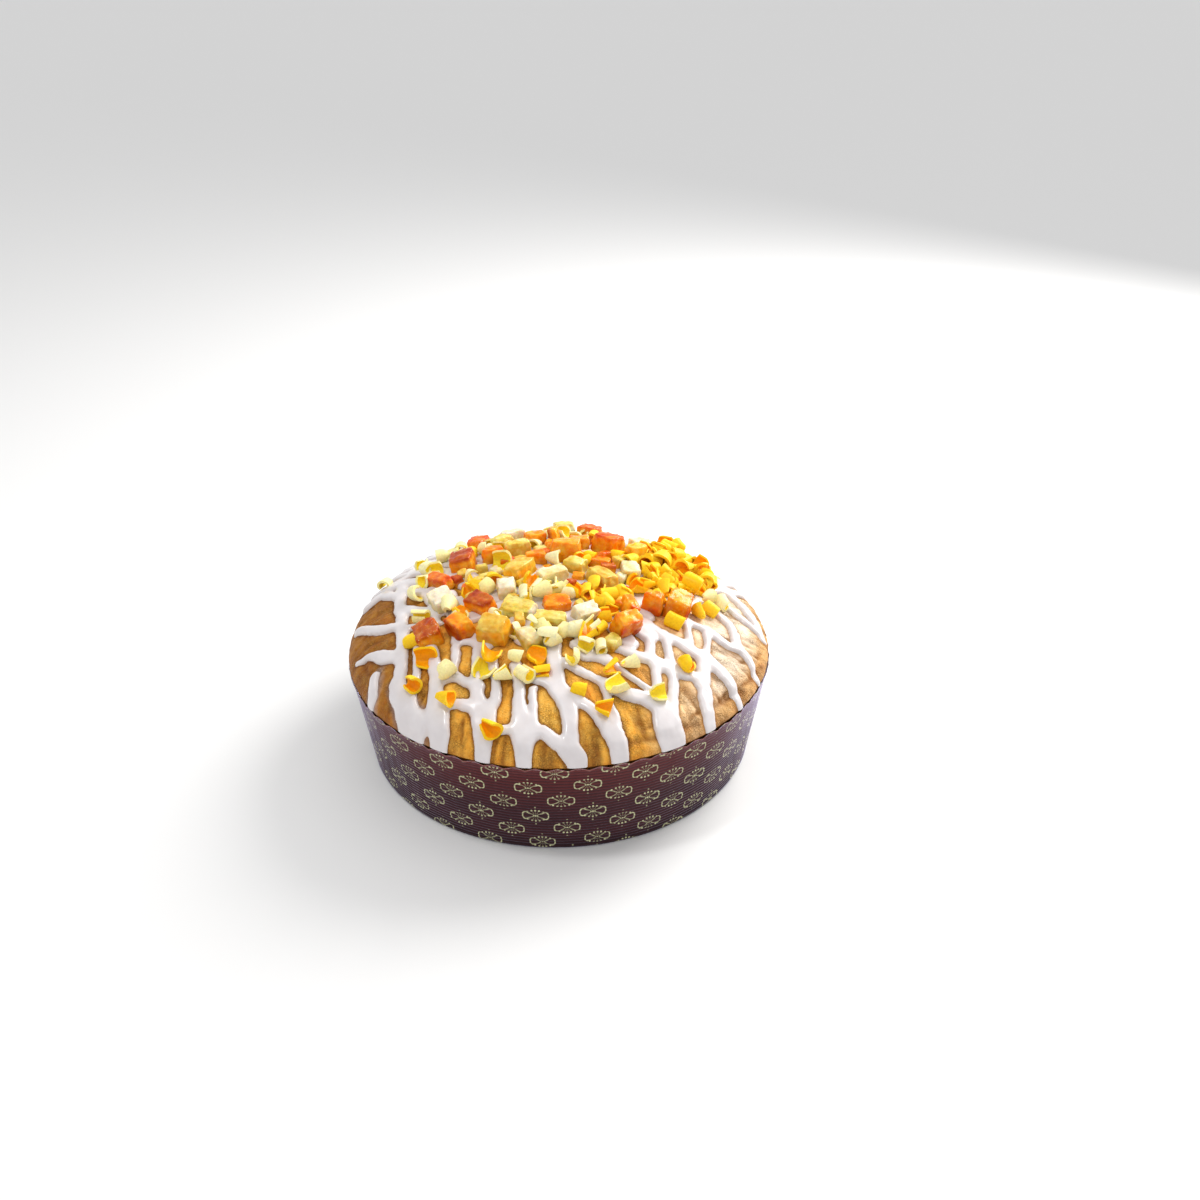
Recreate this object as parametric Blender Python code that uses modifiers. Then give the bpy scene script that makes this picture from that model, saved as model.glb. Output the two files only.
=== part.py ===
"""A low citrus panettone in its paper case, with icing, candied fruit and curls.

Sizes are in millimetres and become metres as each mesh is made. The origin is the
middle of the flat base, +Z is up, and the side seen first faces -Y.
"""
import math
import random

import bmesh
import bpy
import numpy as np
from mathutils import Matrix, Vector, noise

MM = 0.001
GAP = 0.35

# Paper case
RIM_RADIUS = 105.0
BASE_RADIUS = 98.0
CASE_HEIGHT = 49.5
PAPER = 0.8
RIM_WAVES = 71
RIM_STEPS = 2 * RIM_WAVES
RIM_WAVE_HEIGHT = 0.6
DENT_ANGLE = math.radians(187.0)
DENT_SPREAD = math.radians(2.2)
DENT_DEPTH = 1.8
FOOT_ROUNDING = (0.4, 0.6, 1.0)

# Loaf: a dome whose widest line lies just over the paper rim
DOME_RADIUS = 105.2
DOME_FOOT = 52.0
DOME_RISE = 29.5
DOME_POWER = 1.8
DOME_LEAN = 0.045
DOME_RINGS = 56
DOME_STEPS = 300
EDGE_FADE = 5.0
EDGE_RELIEF = 0.35
LOAF_TRIANGLES = 3900
# Lower section of the loaf as (inset from the case or dome, height)
LOAF_LIP = (0.3, 50.95)
LOAF_WAIST = (0.2, 50.5)
LOAF_MIDDLE = (0.2, 24.0)
LOAF_HEEL = (1.2, 1.95)
LOAF_BASE = (3.2, 1.15)
FLAT_ANGLES = (9.0, 8.0, 6.0, 4.0, 2.0, 0.5)
FLAT_TRIES = 8

# Crust relief: slow swells, fine wrinkles and a few folds (start, end, depth)
SWELL = (0.9, 0.035)
WRINKLE = (0.3, 0.16)
FOLD_WIDTH = 1.6
FOLDS = [
    ((67, -74), (86, -56), 2.0),
    ((29, -97), (47, -91), 1.6),
    ((89, -50), (98, -34), 1.8),
    ((50, -88), (61, -82), 1.2),
    ((-97, -26), (-90, -44), 1.4),
    ((-24, -94), (-26, -103), 1.0),
    ((14, -88), (16, -103), 1.0),
    ((-70, 72), (-56, 84), 1.6),
    ((60, 76), (74, 66), 1.8),
]

# Icing strokes as x, y and half width along each run
ICING_HEIGHT = 1.9
ICING_FULL_WIDTH = 2.6
ICING_STROKES = [
    [(-98, 16, 2.4), (-90, 19, 3.0), (-84, 12, 2.6), (-79, 8, 2.6)],
    [(-80, 24, 2.6), (-79, 4, 2.8), (-77, -12, 2.6), (-75, -26, 2.8), (-73.5, -43, 2.9),
     (-73.5, -54, 2.8), (-74, -62, 3.0)],
    [(-100, -5, 2.0), (-92, -12, 2.4), (-85, -17, 3.0), (-77, -20, 2.2)],
    [(-97, -31, 1.2), (-88, -34, 2.2), (-82, -39, 3.6), (-75, -43, 2.6)],
    [(-86, -48, 2.2), (-87, -57, 2.6)],
    [(-76, -58, 2.2), (-72, -66, 4.0), (-68, -76, 4.5), (-63, -82, 4.0)],
    [(-66, -36, 2.2), (-66, -46, 1.9), (-66, -56, 1.8), (-67, -70, 2.2), (-63, -80, 3.0)],
    [(-62, -38, 2.6), (-58, -48, 2.7), (-57, -57, 2.8), (-56, -67, 3.0), (-55, -78, 5.0),
     (-53.5, -87, 4.4), (-53, -92, 2.8)],
    [(-56, -64, 2.0), (-49, -62, 2.2), (-42, -67, 2.2), (-37, -70, 2.6)],
    [(-48, -34, 2.2), (-48, -45, 2.0), (-48, -57, 1.9), (-50, -63, 2.0)],
    [(-48, -40, 1.7), (-39, -43, 1.8)],
    [(-50, -76, 2.0), (-43, -78, 2.4), (-36, -81, 3.0)],
    [(-38, -38, 2.6), (-37.5, -52, 2.4), (-38, -66, 2.2), (-36, -78, 3.4), (-34, -86, 5.4),
     (-34, -94, 4.2), (-34.5, -101, 3.0)],
    [(-31, -56, 2.6), (-29, -68, 1.8), (-29, -78, 2.6), (-33, -84, 3.0)],
    [(-29, -92, 1.5), (-21, -92, 1.6)],
    [(-20, -60, 3.0), (-18.5, -72, 2.6), (-18.5, -83, 3.0), (-16.5, -93, 5.4),
     (-16.5, -99, 4.2), (-16.6, -104, 3.2)],
    [(-16, -66, 3.4), (-10, -68, 2.6), (-3, -72, 3.0)],
    [(-12, -74, 1.8), (-12.4, -88, 2.0), (-14, -93, 3.0)],
    [(-14, -93, 3.0), (-8, -94.5, 2.6), (-3, -98.5, 2.8), (2, -101, 2.8)],
    [(-3.5, -40, 4.2), (-3, -54, 3.6), (-2, -64, 3.6), (-1, -74, 4.2), (3, -84, 3.8),
     (3.8, -93, 3.4), (4, -100, 3.8), (6.5, -104.5, 4.0)],
    [(-1, -75, 3.6), (6, -78, 2.6), (13, -84, 2.8), (19, -89, 4.4), (24, -97, 4.6),
     (25, -103, 3.6)],
    [(3, -58, 2.4), (10, -64, 2.0), (18, -68, 2.2), (28, -74, 3.4), (37, -76, 3.6),
     (44, -80, 5.0), (47.5, -88, 6.8), (48.5, -93, 5.4)],
    [(19.5, -70, 2.4), (20.5, -79, 2.0), (22.5, -88, 3.4)],
    [(6, -46, 2.0), (13, -53, 2.0), (20, -55, 3.0), (29, -62, 1.6), (39, -70, 1.4)],
    [(20, -46, 2.4), (28, -48, 2.4), (36, -51, 3.0), (46, -54, 3.4), (54, -57.5, 3.2),
     (61, -58, 3.2), (65.5, -64, 3.2), (65.5, -73, 2.9), (66.5, -81, 2.7)],
    [(44, -54, 2.6), (43.5, -65, 2.2), (44, -74, 2.6)],
    [(51.5, -57, 2.4), (51, -68, 2.2), (49.5, -79, 2.6)],
    [(38, -22, 2.0), (47, -31, 3.0), (55.5, -36, 3.0), (64, -42, 3.3), (71, -47, 3.5),
     (77, -54, 3.0), (80.5, -60, 2.2), (82.5, -65, 1.8)],
    [(42, -25, 2.2), (42, -38, 2.2), (42, -50, 2.4)],
    [(50, -35, 2.2), (50.5, -46, 2.2), (52, -55, 2.4)],
    [(61.5, -18, 2.0), (61.5, -28, 1.9), (61.5, -38, 2.0)],
    [(60, -17, 2.2), (66, -20, 2.2), (72, -22, 2.5), (80, -30, 2.7), (87, -31, 2.6),
     (91, -37, 1.9), (93.5, -46, 1.4)],
    [(71, -24, 1.8), (70, -36, 1.6), (67, -48, 2.8), (66, -58, 2.8)],
    [(70, 8, 2.4), (76, 1, 2.4), (80, -5, 2.4), (85, -13, 2.3), (86, -28, 2.4)],
    [(86, 28, 2.4), (91, 18, 2.4), (95.5, 9, 2.5), (99.5, -3, 2.2), (101.5, -13, 1.8)],
    [(82, 10, 2.0), (88, 2, 1.6), (95, -6, 1.6), (100, -9, 1.4)],
    [(-60, -20, 2.6), (-61, -8, 2.6), (-66, 2, 2.4), (-72, 12, 2.4)],
    [(-76, -22, 1.8), (-67, -24, 1.8), (-58, -24, 2.0)],
    [(-52, -26, 2.4), (-51, -14, 2.6), (-53, 0, 2.6)],
    [(-84, 40, 2.6), (-72, 34, 2.6), (-60, 28, 2.6), (-50, 12, 3.0)],
    [(-92, 30, 2.0), (-84, 27, 2.4), (-72, 22, 2.4), (-62, 16, 2.4)],
    [(-78, -5, 2.8), (-69, -10, 3.2), (-60, -13, 2.6), (-48, -16, 3.0)],
    [(-76, 12, 2.4), (-64, 6, 3.0), (-54, 18, 3.2), (-44, 16, 3.4)],
    [(-88, 44, 2.4), (-76, 48, 2.8), (-62, 44, 3.0), (-50, 36, 3.4)],
    [(-70, 58, 2.4), (-58, 55, 3.0), (-48, 46, 3.0), (-38, 40, 3.2)],
    [(40, -6, 3.0), (52, -3, 2.6), (62, -4, 2.6), (70, 6, 2.4)],
    [(28, -16, 3.4), (36, -14, 3.0), (44, -20, 2.6)],
]

# Icing under the toppings and down the far side, drawn by rule
POOL_STROKES = 19
POOL_REACH = 52.0
POOL_SHARES = (0.8, 1.08)
POOL_MIDDLE = 0.55
POOL_WIDTHS = (5.4, 5.0, 4.0)
POOL_START = (2, 8)
POOL_JITTER = 0.25
POOL_TWIST = 0.1
FAR_DRIPS = 17
FAR_LINKS = 22
FAR_SECTOR = (12, 156)
FAR_START = 42
FAR_REACHES = [92, 99, 104, 104]
FAR_WIDTHS = (2.4, 4.2)
FAR_PROFILE = [(0.0, 1.0), (0.4, 0.85), (0.75, 1.0), (1.0, 0.8)]
FAR_BEND = 0.07
FAR_JITTER = 0.22
LINK_WIDTH = 1.9
LINK_PLACES = (0.15, 0.8)
LINK_SHIFT = 0.16

# Candied fruit as x, y, length, width, height, turn and lean in degrees
FRUIT_SCALE = 1.09
FRUIT_SINK = 1.6
FRUIT_BULGE = 1.07
FRUIT_ROUNDING = {1: 1.0, 2: 0.975, 3: 0.94}
FRUIT_UNEVEN = 0.045
FRUIT_TOP = (0.84, 1.0)
FRUIT_WEDGE = (0.78, 1.0)
ORANGE_PEEL = [
    (-48, 27, 13, 11, 10, 25, 4), (-59, 9, 15, 7, 6, 57, 3), (-37, -19, 14, 9, 8, 20, 6),
    (-46, -35, 12, 10, 9, 0, 2), (-61, -35, 13, 11, 8, -15, 8), (-12, 56, 10, 10, 9, 15, 0),
    (-2, 57, 9, 4.5, 9, 80, 10), (4, 31, 15, 12, 11, 5, 5), (-11, 26, 10, 7, 7, -20, 0),
    (-33, 31, 11, 9, 8, -30, 6), (-1, -20, 12, 8, 6, 12, 8), (26, 44, 15, 12, 11, -10, 4),
    (40, 38, 8, 11, 9, 10, 0), (21, 25, 11, 8, 7, 20, 4), (11.5, 47, 9, 9, 8, 18, 6),
    (31, -36, 12, 9, 11, -8, 14), (33, -22, 12, 5, 9, 50, 10), (57.5, -12, 13, 12, 11, -5, 4),
    (45, -14, 6, 10, 10, -5, 0), (-42, 53, 12, 10, 8, 35, 0), (17, 70, 12, 9, 8, -25, 0),
]
CITRON = [
    (-19, 12, 16, 9, 8, 0, 4), (-21, 37.5, 12, 8, 8, -8, 0), (-29, 48, 10, 8, 8, 20, 5),
    (-24, 61, 12, 9, 9, 8, 0), (-56, -9, 14, 11, 8, 15, 3), (-25, -7, 11, 9, 7, -12, 0),
    (-3, 5, 14, 8, 7, 0, 0), (-19, -23, 17, 11, 6, 10, 8), (-30, -41, 14, 12, 10, 15, 8),
    (-4, -32, 14, 7, 6, -5, 0), (-14, -45, 12, 8, 7, -40, 0), (21, 4, 16, 10, 8, 25, 6),
    (36, 17, 12, 9, 7, -20, 0), (12.5, -27, 12, 9, 7, 5, 6), (8.5, 17, 10, 8, 7, 0, 0),
    (24, -46, 8, 6, 5, 30, 0), (44, 55, 12, 9, 8, 60, 0), (3, 73, 11, 9, 8, 10, 0),
]

# Curls as x, y, turn in degrees and kind; the rest are strewn by rule
CURL_WALL = 0.95
CURL_SINK = 1.0
CURL_SIZES = (0.92, 1.16)
CURL_ROLL = 70
CURL_TIPPED = 0.3
CURL_TILT = 12
CURL_SLANT = 0.12
CURL_KINDS = {
    "tube": (7.0, 2.3, 2.6, 315, 5),
    "scoop": (6.5, 2.9, 3.2, 195, 3),
    "cone": (7.0, 1.4, 3.6, 235, 4),
    "flake": (7.5, 3.6, 4.4, 120, 3),
}
YELLOW_CURLS = [
    (-66, -20, 60, "tube"), (-51, -62, 80, "scoop"), (-34, -64, 80, "flake"),
    (-26, -67, 40, "cone"), (-20, -57, 10, "scoop"), (-16, -68, -35, "tube"),
    (-6, -47, 0, "flake"), (5.5, -59, 85, "scoop"), (11, -51, -40, "scoop"),
    (19, -50, 70, "tube"), (24, -73, 10, "flake"), (31, -58, 0, "cone"),
    (43, -75, -10, "flake"), (15, -36, 30, "tube"), (5, -39, 0, "scoop"),
    (-9, -13, 60, "cone"), (-1, -8, 20, "tube"), (-43, 10, 30, "cone"),
    (-30, 21, 90, "flake"), (-50, 45, 40, "scoop"), (-66, 27, 80, "scoop"),
    (-70, 38, 10, "cone"), (-60, 40, -30, "scoop"), (-89, 31, 10, "tube"),
    (-70, 2, 45, "scoop"), (-66, 15, -20, "cone"), (82, 3, 20, "scoop"),
    (73, 3, -50, "cone"), (9, 58, 0, "scoop"), (-35, 42, 60, "tube"),
]
ORANGE_CURLS = [
    (-69, -37, 70, "scoop"), (-62, -52, 30, "flake"), (-66, -64, 0, "scoop"),
    (-50, -76, 10, "cone"), (-31, -92, -30, "cone"), (-46, -21, 20, "flake"),
    (-44, -6, 10, "cone"), (-30, -56, 110, "flake"), (-11, -56, -20, "flake"),
    (-8, -66, 15, "tube"), (8, -75, -20, "scoop"), (23, -64, 20, "cone"),
    (18, -86, -15, "cone"), (58, -55, 60, "scoop"), (55, -24, 85, "tube"),
    (69, -12, 30, "cone"), (75, -5, 60, "tube"), (8, -9, 90, "scoop"),
    (14, -10, 30, "tube"), (15, -17, 60, "cone"), (25, -9, 0, "flake"),
    (31, -8, 40, "tube"), (23, -18, 80, "scoop"), (21, -28, -30, "scoop"),
    (39, 6, -15, "tube"), (46, 22, 50, "cone"), (47, 11, 10, "scoop"),
    (55, 9, 0, "flake"), (60, 17, 5, "tube"), (64, 4, 80, "scoop"),
    (53, 1, 0, "cone"), (-32, 2, 20, "cone"), (-39, 0, 60, "flake"),
    (-45, 40, 15, "scoop"), (-38, -4, 50, "scoop"), (-13, 1, 0, "scoop"),
]
HEAP_CENTRE = (59, 31)
HEAP_RADII = (21, 30)
HEAP_CURLS = 22
HEAP_LIFTS = [0.0, 0.0, 2.4]
HEAP_TRIES = 4000
STREWN_YELLOW = 4
STREWN_SECTOR = (60, 160)
STREWN_REACH = (58, 84)
STREWN_KINDS = ["tube", "scoop", "cone", "cone", "flake"]
CURL_SPACING = 4.6
STREWN_SPACING = 7.4


def tidy_scene():
    """Remove every object so that the script always starts from nothing."""
    for item in list(bpy.data.objects):
        bpy.data.objects.remove(item, do_unlink=True)


def collection(name):
    """A collection under the scene."""
    group = bpy.data.collections.new(name)
    bpy.context.scene.collection.children.link(group)
    return group


def material(name, colour, roughness):
    """A Principled material."""
    made = bpy.data.materials.new(name)
    made.use_nodes = True
    shader = made.node_tree.nodes["Principled BSDF"]
    shader.inputs["Base Color"].default_value = (*colour, 1.0)
    shader.inputs["Roughness"].default_value = roughness
    shader.inputs["Metallic"].default_value = 0.0
    return made


def add_object(name, mesh, group, finish=None):
    """Put a mesh in the scene as a named object."""
    item = bpy.data.objects.new(name, mesh)
    group.objects.link(item)
    if finish:
        mesh.materials.clear()
        mesh.materials.append(finish)
    return item


def evaluated_mesh(item):
    """The mesh that an object's modifiers give."""
    bpy.context.view_layer.update()
    graph = bpy.context.evaluated_depsgraph_get()
    return bpy.data.meshes.new_from_object(item.evaluated_get(graph))


def turned_mesh(name, profile, steps, group):
    """Turn a profile of (radius, height) points round the Z axis."""
    mesh = bpy.data.meshes.new(name)
    points = [(radius * MM, 0.0, height * MM) for radius, height in profile]
    edges = [(i, i + 1) for i in range(len(points) - 1)]
    mesh.from_pydata(points, edges, [])
    item = add_object(name + "_profile", mesh, group)
    screw = item.modifiers.new("turn", "SCREW")
    screw.axis = "Z"
    screw.steps = steps
    screw.render_steps = steps
    screw.use_merge_vertices = True
    screw.merge_threshold = 0.00001
    turned = evaluated_mesh(item)
    bpy.data.objects.remove(item, do_unlink=True)
    return turned


def close_and_orient(mesh):
    """Fill open rings, drop slivers and turn every face outwards."""
    work = bmesh.new()
    work.from_mesh(mesh)
    bmesh.ops.remove_doubles(work, verts=work.verts, dist=0.002 * MM)
    rims = [edge for edge in work.edges if edge.is_boundary]
    if rims:
        bmesh.ops.holes_fill(work, edges=rims, sides=0)
    bmesh.ops.recalc_face_normals(work, faces=work.faces)
    work.to_mesh(mesh)
    work.free()


def case_radius(height):
    """Outer radius of the paper wall, which flares to its rim."""
    return BASE_RADIUS + (RIM_RADIUS - BASE_RADIUS) * height / CASE_HEIGHT


def make_case(group, helpers, finish):
    """The paper case: a thin flared cup with a scalloped, slightly dented rim."""
    profile = [
        (case_radius(CASE_HEIGHT) - PAPER, CASE_HEIGHT),
        (RIM_RADIUS, CASE_HEIGHT),
        (BASE_RADIUS + FOOT_ROUNDING[0], FOOT_ROUNDING[2]),
        (BASE_RADIUS - FOOT_ROUNDING[1], 0.0),
    ]
    inner = [(BASE_RADIUS - PAPER, PAPER)]
    outline = inner + profile
    mesh = turned_mesh("paper_case", outline, RIM_STEPS, helpers)
    for vertex in mesh.vertices:
        if vertex.co.z > (CASE_HEIGHT - 0.1) * MM:
            angle = math.atan2(vertex.co.y, vertex.co.x) % math.tau
            wave = RIM_WAVE_HEIGHT * math.cos(RIM_WAVES * angle)
            dent = DENT_DEPTH * math.exp(-((angle - DENT_ANGLE) / DENT_SPREAD) ** 2)
            vertex.co.z += (wave - dent) * MM
    close_and_orient(mesh)
    return add_object("paper_case", mesh, group, finish)


def segment_distance(x, y, start, end):
    """Distance from each point to a segment, and how far along it the point lies."""
    run = (end[0] - start[0], end[1] - start[1])
    length = max(run[0] ** 2 + run[1] ** 2, 1e-9)
    along = np.clip(((x - start[0]) * run[0] + (y - start[1]) * run[1]) / length, 0, 1)
    distance = np.hypot(x - start[0] - along * run[0], y - start[1] - along * run[1])
    return distance, along


def smooth_run(points, parts=4):
    """Round off a run of (x, y, width) points with a Catmull-Rom curve."""
    run = [np.array(point, float) for point in points]
    padded = [2 * run[0] - run[1]] + run + [2 * run[-1] - run[-2]]
    curve = []
    for i in range(1, len(padded) - 2):
        before, here, there, after = padded[i - 1:i + 3]
        for step in range(parts):
            t = step / parts
            curve.append(0.5 * (2 * here + (there - before) * t
                                + (2 * before - 5 * here + 4 * there - after) * t ** 2
                                + (3 * here - before - 3 * there + after) * t ** 3))
    curve.append(run[-1])
    return curve


def pool_strokes(draw):
    """Icing in the middle, under the toppings."""
    strokes = []
    for i in range(POOL_STROKES):
        angle = math.tau * (i + draw.uniform(-POOL_JITTER, POOL_JITTER)) / POOL_STROKES
        reach = POOL_REACH * draw.uniform(*POOL_SHARES)
        start = draw.uniform(*POOL_START)
        places = ((start, angle), (POOL_MIDDLE * reach, angle + POOL_TWIST), (reach, angle))
        strokes.append([(radius * math.cos(turn), radius * math.sin(turn), width)
                        for (radius, turn), width in zip(places, POOL_WIDTHS)])
    return strokes


def far_drips(draw):
    """Drips that run down the far side."""
    drips = []
    for i in range(FAR_DRIPS):
        share = (i + 0.5 + draw.uniform(-FAR_JITTER, FAR_JITTER)) / FAR_DRIPS
        angle = math.radians(FAR_SECTOR[0] + FAR_SECTOR[1] * share)
        reach = draw.choice(FAR_REACHES)
        width = draw.uniform(*FAR_WIDTHS)
        bend = draw.uniform(-FAR_BEND, FAR_BEND)
        drip = []
        for part, size in FAR_PROFILE:
            radius = FAR_START + (reach - FAR_START) * part
            turn = angle + bend * math.sin(math.pi * part)
            drip.append((radius * math.cos(turn), radius * math.sin(turn), size * width))
        drips.append(drip)
    return drips


def far_links(draw, drips):
    """Thin strokes that join one far drip to the next."""
    links = []
    for _ in range(FAR_LINKS):
        first = draw.randrange(len(drips) - 1)
        part = draw.uniform(*LINK_PLACES)
        shift = draw.uniform(-LINK_SHIFT, LINK_SHIFT)
        ends = []
        for drip, place in ((drips[first], part), (drips[first + 1], part + shift)):
            spot = place * (len(drip) - 1)
            low = min(int(spot), len(drip) - 2)
            a, b = drip[low], drip[low + 1]
            x, y = (a[k] + (b[k] - a[k]) * (spot - low) for k in (0, 1))
            ends.append((x, y, LINK_WIDTH))
        links.append(ends)
    return links


def ruled_strokes():
    """Icing in the middle under the toppings, and drips with links on the far side."""
    draw = random.Random(11)
    pool = pool_strokes(draw)
    drips = far_drips(draw)
    return pool + far_links(draw, drips) + drips


def icing_depth(x, y, strokes):
    """Thickness of the icing over plan points: the highest of all strokes."""
    depth = np.zeros_like(x)
    for stroke in strokes:
        for start, end in zip(stroke, stroke[1:]):
            distance, along = segment_distance(x, y, start, end)
            half = start[2] + (end[2] - start[2]) * along
            crown = np.clip(1 - (distance / half) ** 2, 0, 1) ** 0.5
            depth = np.maximum(depth, ICING_HEIGHT * crown * np.clip(half / ICING_FULL_WIDTH, 0.5, 1))
    return depth


def crust_relief(x, y):
    """Swells, wrinkles and folds of the crust over plan points."""
    relief = np.zeros_like(x)
    for size, scale in (SWELL, WRINKLE):
        relief += [size * noise.noise(Vector((a * scale, b * scale, size))) for a, b in zip(x, y)]
    for start, end, deep in FOLDS:
        distance, along = segment_distance(x, y, start, end)
        fade = np.sin(np.pi * np.clip(along, 0.08, 0.92))
        relief -= deep * fade * np.exp(-(distance / FOLD_WIDTH) ** 2)
    return relief


def dome_surface(x, y, strokes):
    """Surface points over plan points, and the way out of the dome there."""
    radius = np.clip(np.hypot(x, y), 1e-6, DOME_RADIUS)
    share = np.clip(1 - (radius / DOME_RADIUS) ** DOME_POWER, 0, 1) ** (1 / DOME_POWER)
    height = DOME_FOOT + DOME_RISE * share - DOME_LEAN * x * np.clip(1.5 * share, 0, 1)
    steep = (radius / DOME_RADIUS) ** (DOME_POWER - 1) / DOME_RADIUS
    flat = share ** (DOME_POWER - 1) / DOME_RISE
    out = np.stack([steep * x / radius, steep * y / radius, flat], 1)
    out /= np.linalg.norm(out, axis=1)[:, None]
    edge = np.clip((DOME_RADIUS - radius) / EDGE_FADE, EDGE_RELIEF, 1)
    lift = (crust_relief(x, y) + icing_depth(x, y, strokes)) * edge
    return np.stack([x, y, height], 1) + out * lift[:, None], out


def loaf_profile():
    """The loaf's section, from the top down its outer side and in under its base."""
    profile = []
    for ring in range(DOME_RINGS + 1):
        turn = 0.5 * math.pi * ring / DOME_RINGS
        profile.append((DOME_RADIUS * math.sin(turn) ** (2 / DOME_POWER),
                        DOME_FOOT + DOME_RISE * math.cos(turn) ** (2 / DOME_POWER)))
    profile.append((DOME_RADIUS - LOAF_LIP[0], LOAF_LIP[1]))
    clear = PAPER + GAP
    profile.append((RIM_RADIUS - clear - LOAF_WAIST[0], LOAF_WAIST[1]))
    profile.append((case_radius(LOAF_MIDDLE[1]) - clear - LOAF_MIDDLE[0], LOAF_MIDDLE[1]))
    profile.append((BASE_RADIUS - clear - LOAF_HEEL[0], LOAF_HEEL[1]))
    profile.append((BASE_RADIUS - clear - LOAF_BASE[0], LOAF_BASE[1]))
    return profile


def make_loaf(group, helpers, finish, strokes):
    """The loaf: turned, then raised by its relief and icing, then thinned out."""
    mesh = turned_mesh("bread", loaf_profile(), DOME_STEPS, helpers)
    close_and_orient(mesh)
    points = np.array([vertex.co[:] for vertex in mesh.vertices]) / MM
    upper = points[:, 2] > DOME_FOOT - 0.01
    raised, _ = dome_surface(points[upper, 0], points[upper, 1], strokes)
    points[upper] = raised
    for vertex, point in zip(mesh.vertices, points):
        vertex.co = point * MM
    loaf = add_object("bread", mesh, group, finish)
    triangles = sum(len(face.vertices) - 2 for face in mesh.polygons)
    thin = loaf.modifiers.new("thin", "DECIMATE")
    thin.ratio = LOAF_TRIANGLES / triangles
    thin.use_collapse_triangulate = True
    replace_mesh(loaf, evaluated_mesh(loaf))
    return loaf


def replace_mesh(item, mesh):
    """Give an object a new mesh and clear its modifiers."""
    old = item.data
    finish = old.materials[0] if old.materials else None
    item.modifiers.clear()
    item.data = mesh
    if finish:
        mesh.materials.clear()
        mesh.materials.append(finish)
    bpy.data.meshes.remove(old)


def curl_sheet(kind, size):
    """An open sheet rolled to part of a tube or cone, along its own X axis."""
    length, narrow, wide, arc, parts = CURL_KINDS[kind]
    mesh = bpy.data.meshes.new("curl")
    work = bmesh.new()
    rows = []
    for place, radius in ((-0.5, narrow), (0.5, wide)):
        row = []
        for i in range(parts + 1):
            angle = math.radians(arc) * (i / parts - 0.5)
            slant = CURL_SLANT * length * math.sin(angle) * place
            row.append(work.verts.new(Vector((
                place * length + slant,
                radius * math.sin(angle),
                -radius * math.cos(angle))) * size * MM))
        rows.append(row)
    for i in range(parts):
        work.faces.new((rows[0][i], rows[0][i + 1], rows[1][i + 1], rows[1][i]))
    work.to_mesh(mesh)
    work.free()
    return mesh


def surface_frame(x, y, strokes):
    """A point of the finished surface and the rotation that stands on it there."""
    point, out = dome_surface(np.array([float(x)]), np.array([float(y)]), strokes)
    upright = Vector(out[0]).to_track_quat("Z", "Y").to_matrix()
    return Vector(point[0]), Vector(out[0]), upright


def place_curl(spot, strokes, draw, group, lift=0.0):
    """One curl, lying on the surface and sunk a little into it."""
    x, y, turn, kind = spot
    mesh = curl_sheet(kind, draw.uniform(*CURL_SIZES))
    point, out, upright = surface_frame(x, y, strokes)
    roll = draw.uniform(-CURL_ROLL, CURL_ROLL) + (180 if draw.random() < CURL_TIPPED else 0)
    pose = (Matrix.Rotation(math.radians(turn), 3, "Z")
            @ Matrix.Rotation(math.radians(draw.uniform(-CURL_TILT, CURL_TILT)), 3, "Y")
            @ Matrix.Rotation(math.radians(roll), 3, "X"))
    turned = [upright @ pose @ vertex.co for vertex in mesh.vertices]
    lowest = min(corner.dot(out) for corner in turned)
    centre = point * MM + out * ((lift - CURL_SINK) * MM - lowest)
    for vertex, corner in zip(mesh.vertices, turned):
        vertex.co = corner + centre
    item = add_object("curl", mesh, group)
    shell = item.modifiers.new("wall", "SOLIDIFY")
    shell.thickness = CURL_WALL * MM
    shell.offset = 0.0
    shell.use_even_offset = True
    shell.use_rim = True
    return item


def strewn_spots():
    """The heap of orange curls at the back right, and stray yellow ones, by rule."""
    draw = random.Random(23)
    taken = [(spot[0], spot[1]) for spot in YELLOW_CURLS + ORANGE_CURLS]
    heap = []
    for _ in range(HEAP_TRIES):
        if len(heap) == HEAP_CURLS:
            break
        reach, angle = math.sqrt(draw.random()), draw.uniform(0, math.tau)
        x = HEAP_CENTRE[0] + HEAP_RADII[0] * reach * math.cos(angle)
        y = HEAP_CENTRE[1] + HEAP_RADII[1] * reach * math.sin(angle)
        if min(math.hypot(x - a, y - b) for a, b in taken) > CURL_SPACING:
            taken.append((x, y))
            heap.append((x, y, draw.uniform(0, 180), draw.choice(STREWN_KINDS)))
    stray = []
    while len(stray) < STREWN_YELLOW:
        angle = math.radians(draw.uniform(*STREWN_SECTOR))
        reach = draw.uniform(*STREWN_REACH)
        x, y = reach * math.cos(angle), reach * math.sin(angle)
        if min(math.hypot(x - a, y - b) for a, b in taken) > STREWN_SPACING:
            taken.append((x, y))
            stray.append((x, y, draw.uniform(0, 180), draw.choice(STREWN_KINDS)))
    return heap, stray


def fruit_size(spec):
    """Length, width and height of a piece of fruit."""
    return [FRUIT_SCALE * side for side in spec[2:5]]


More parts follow.
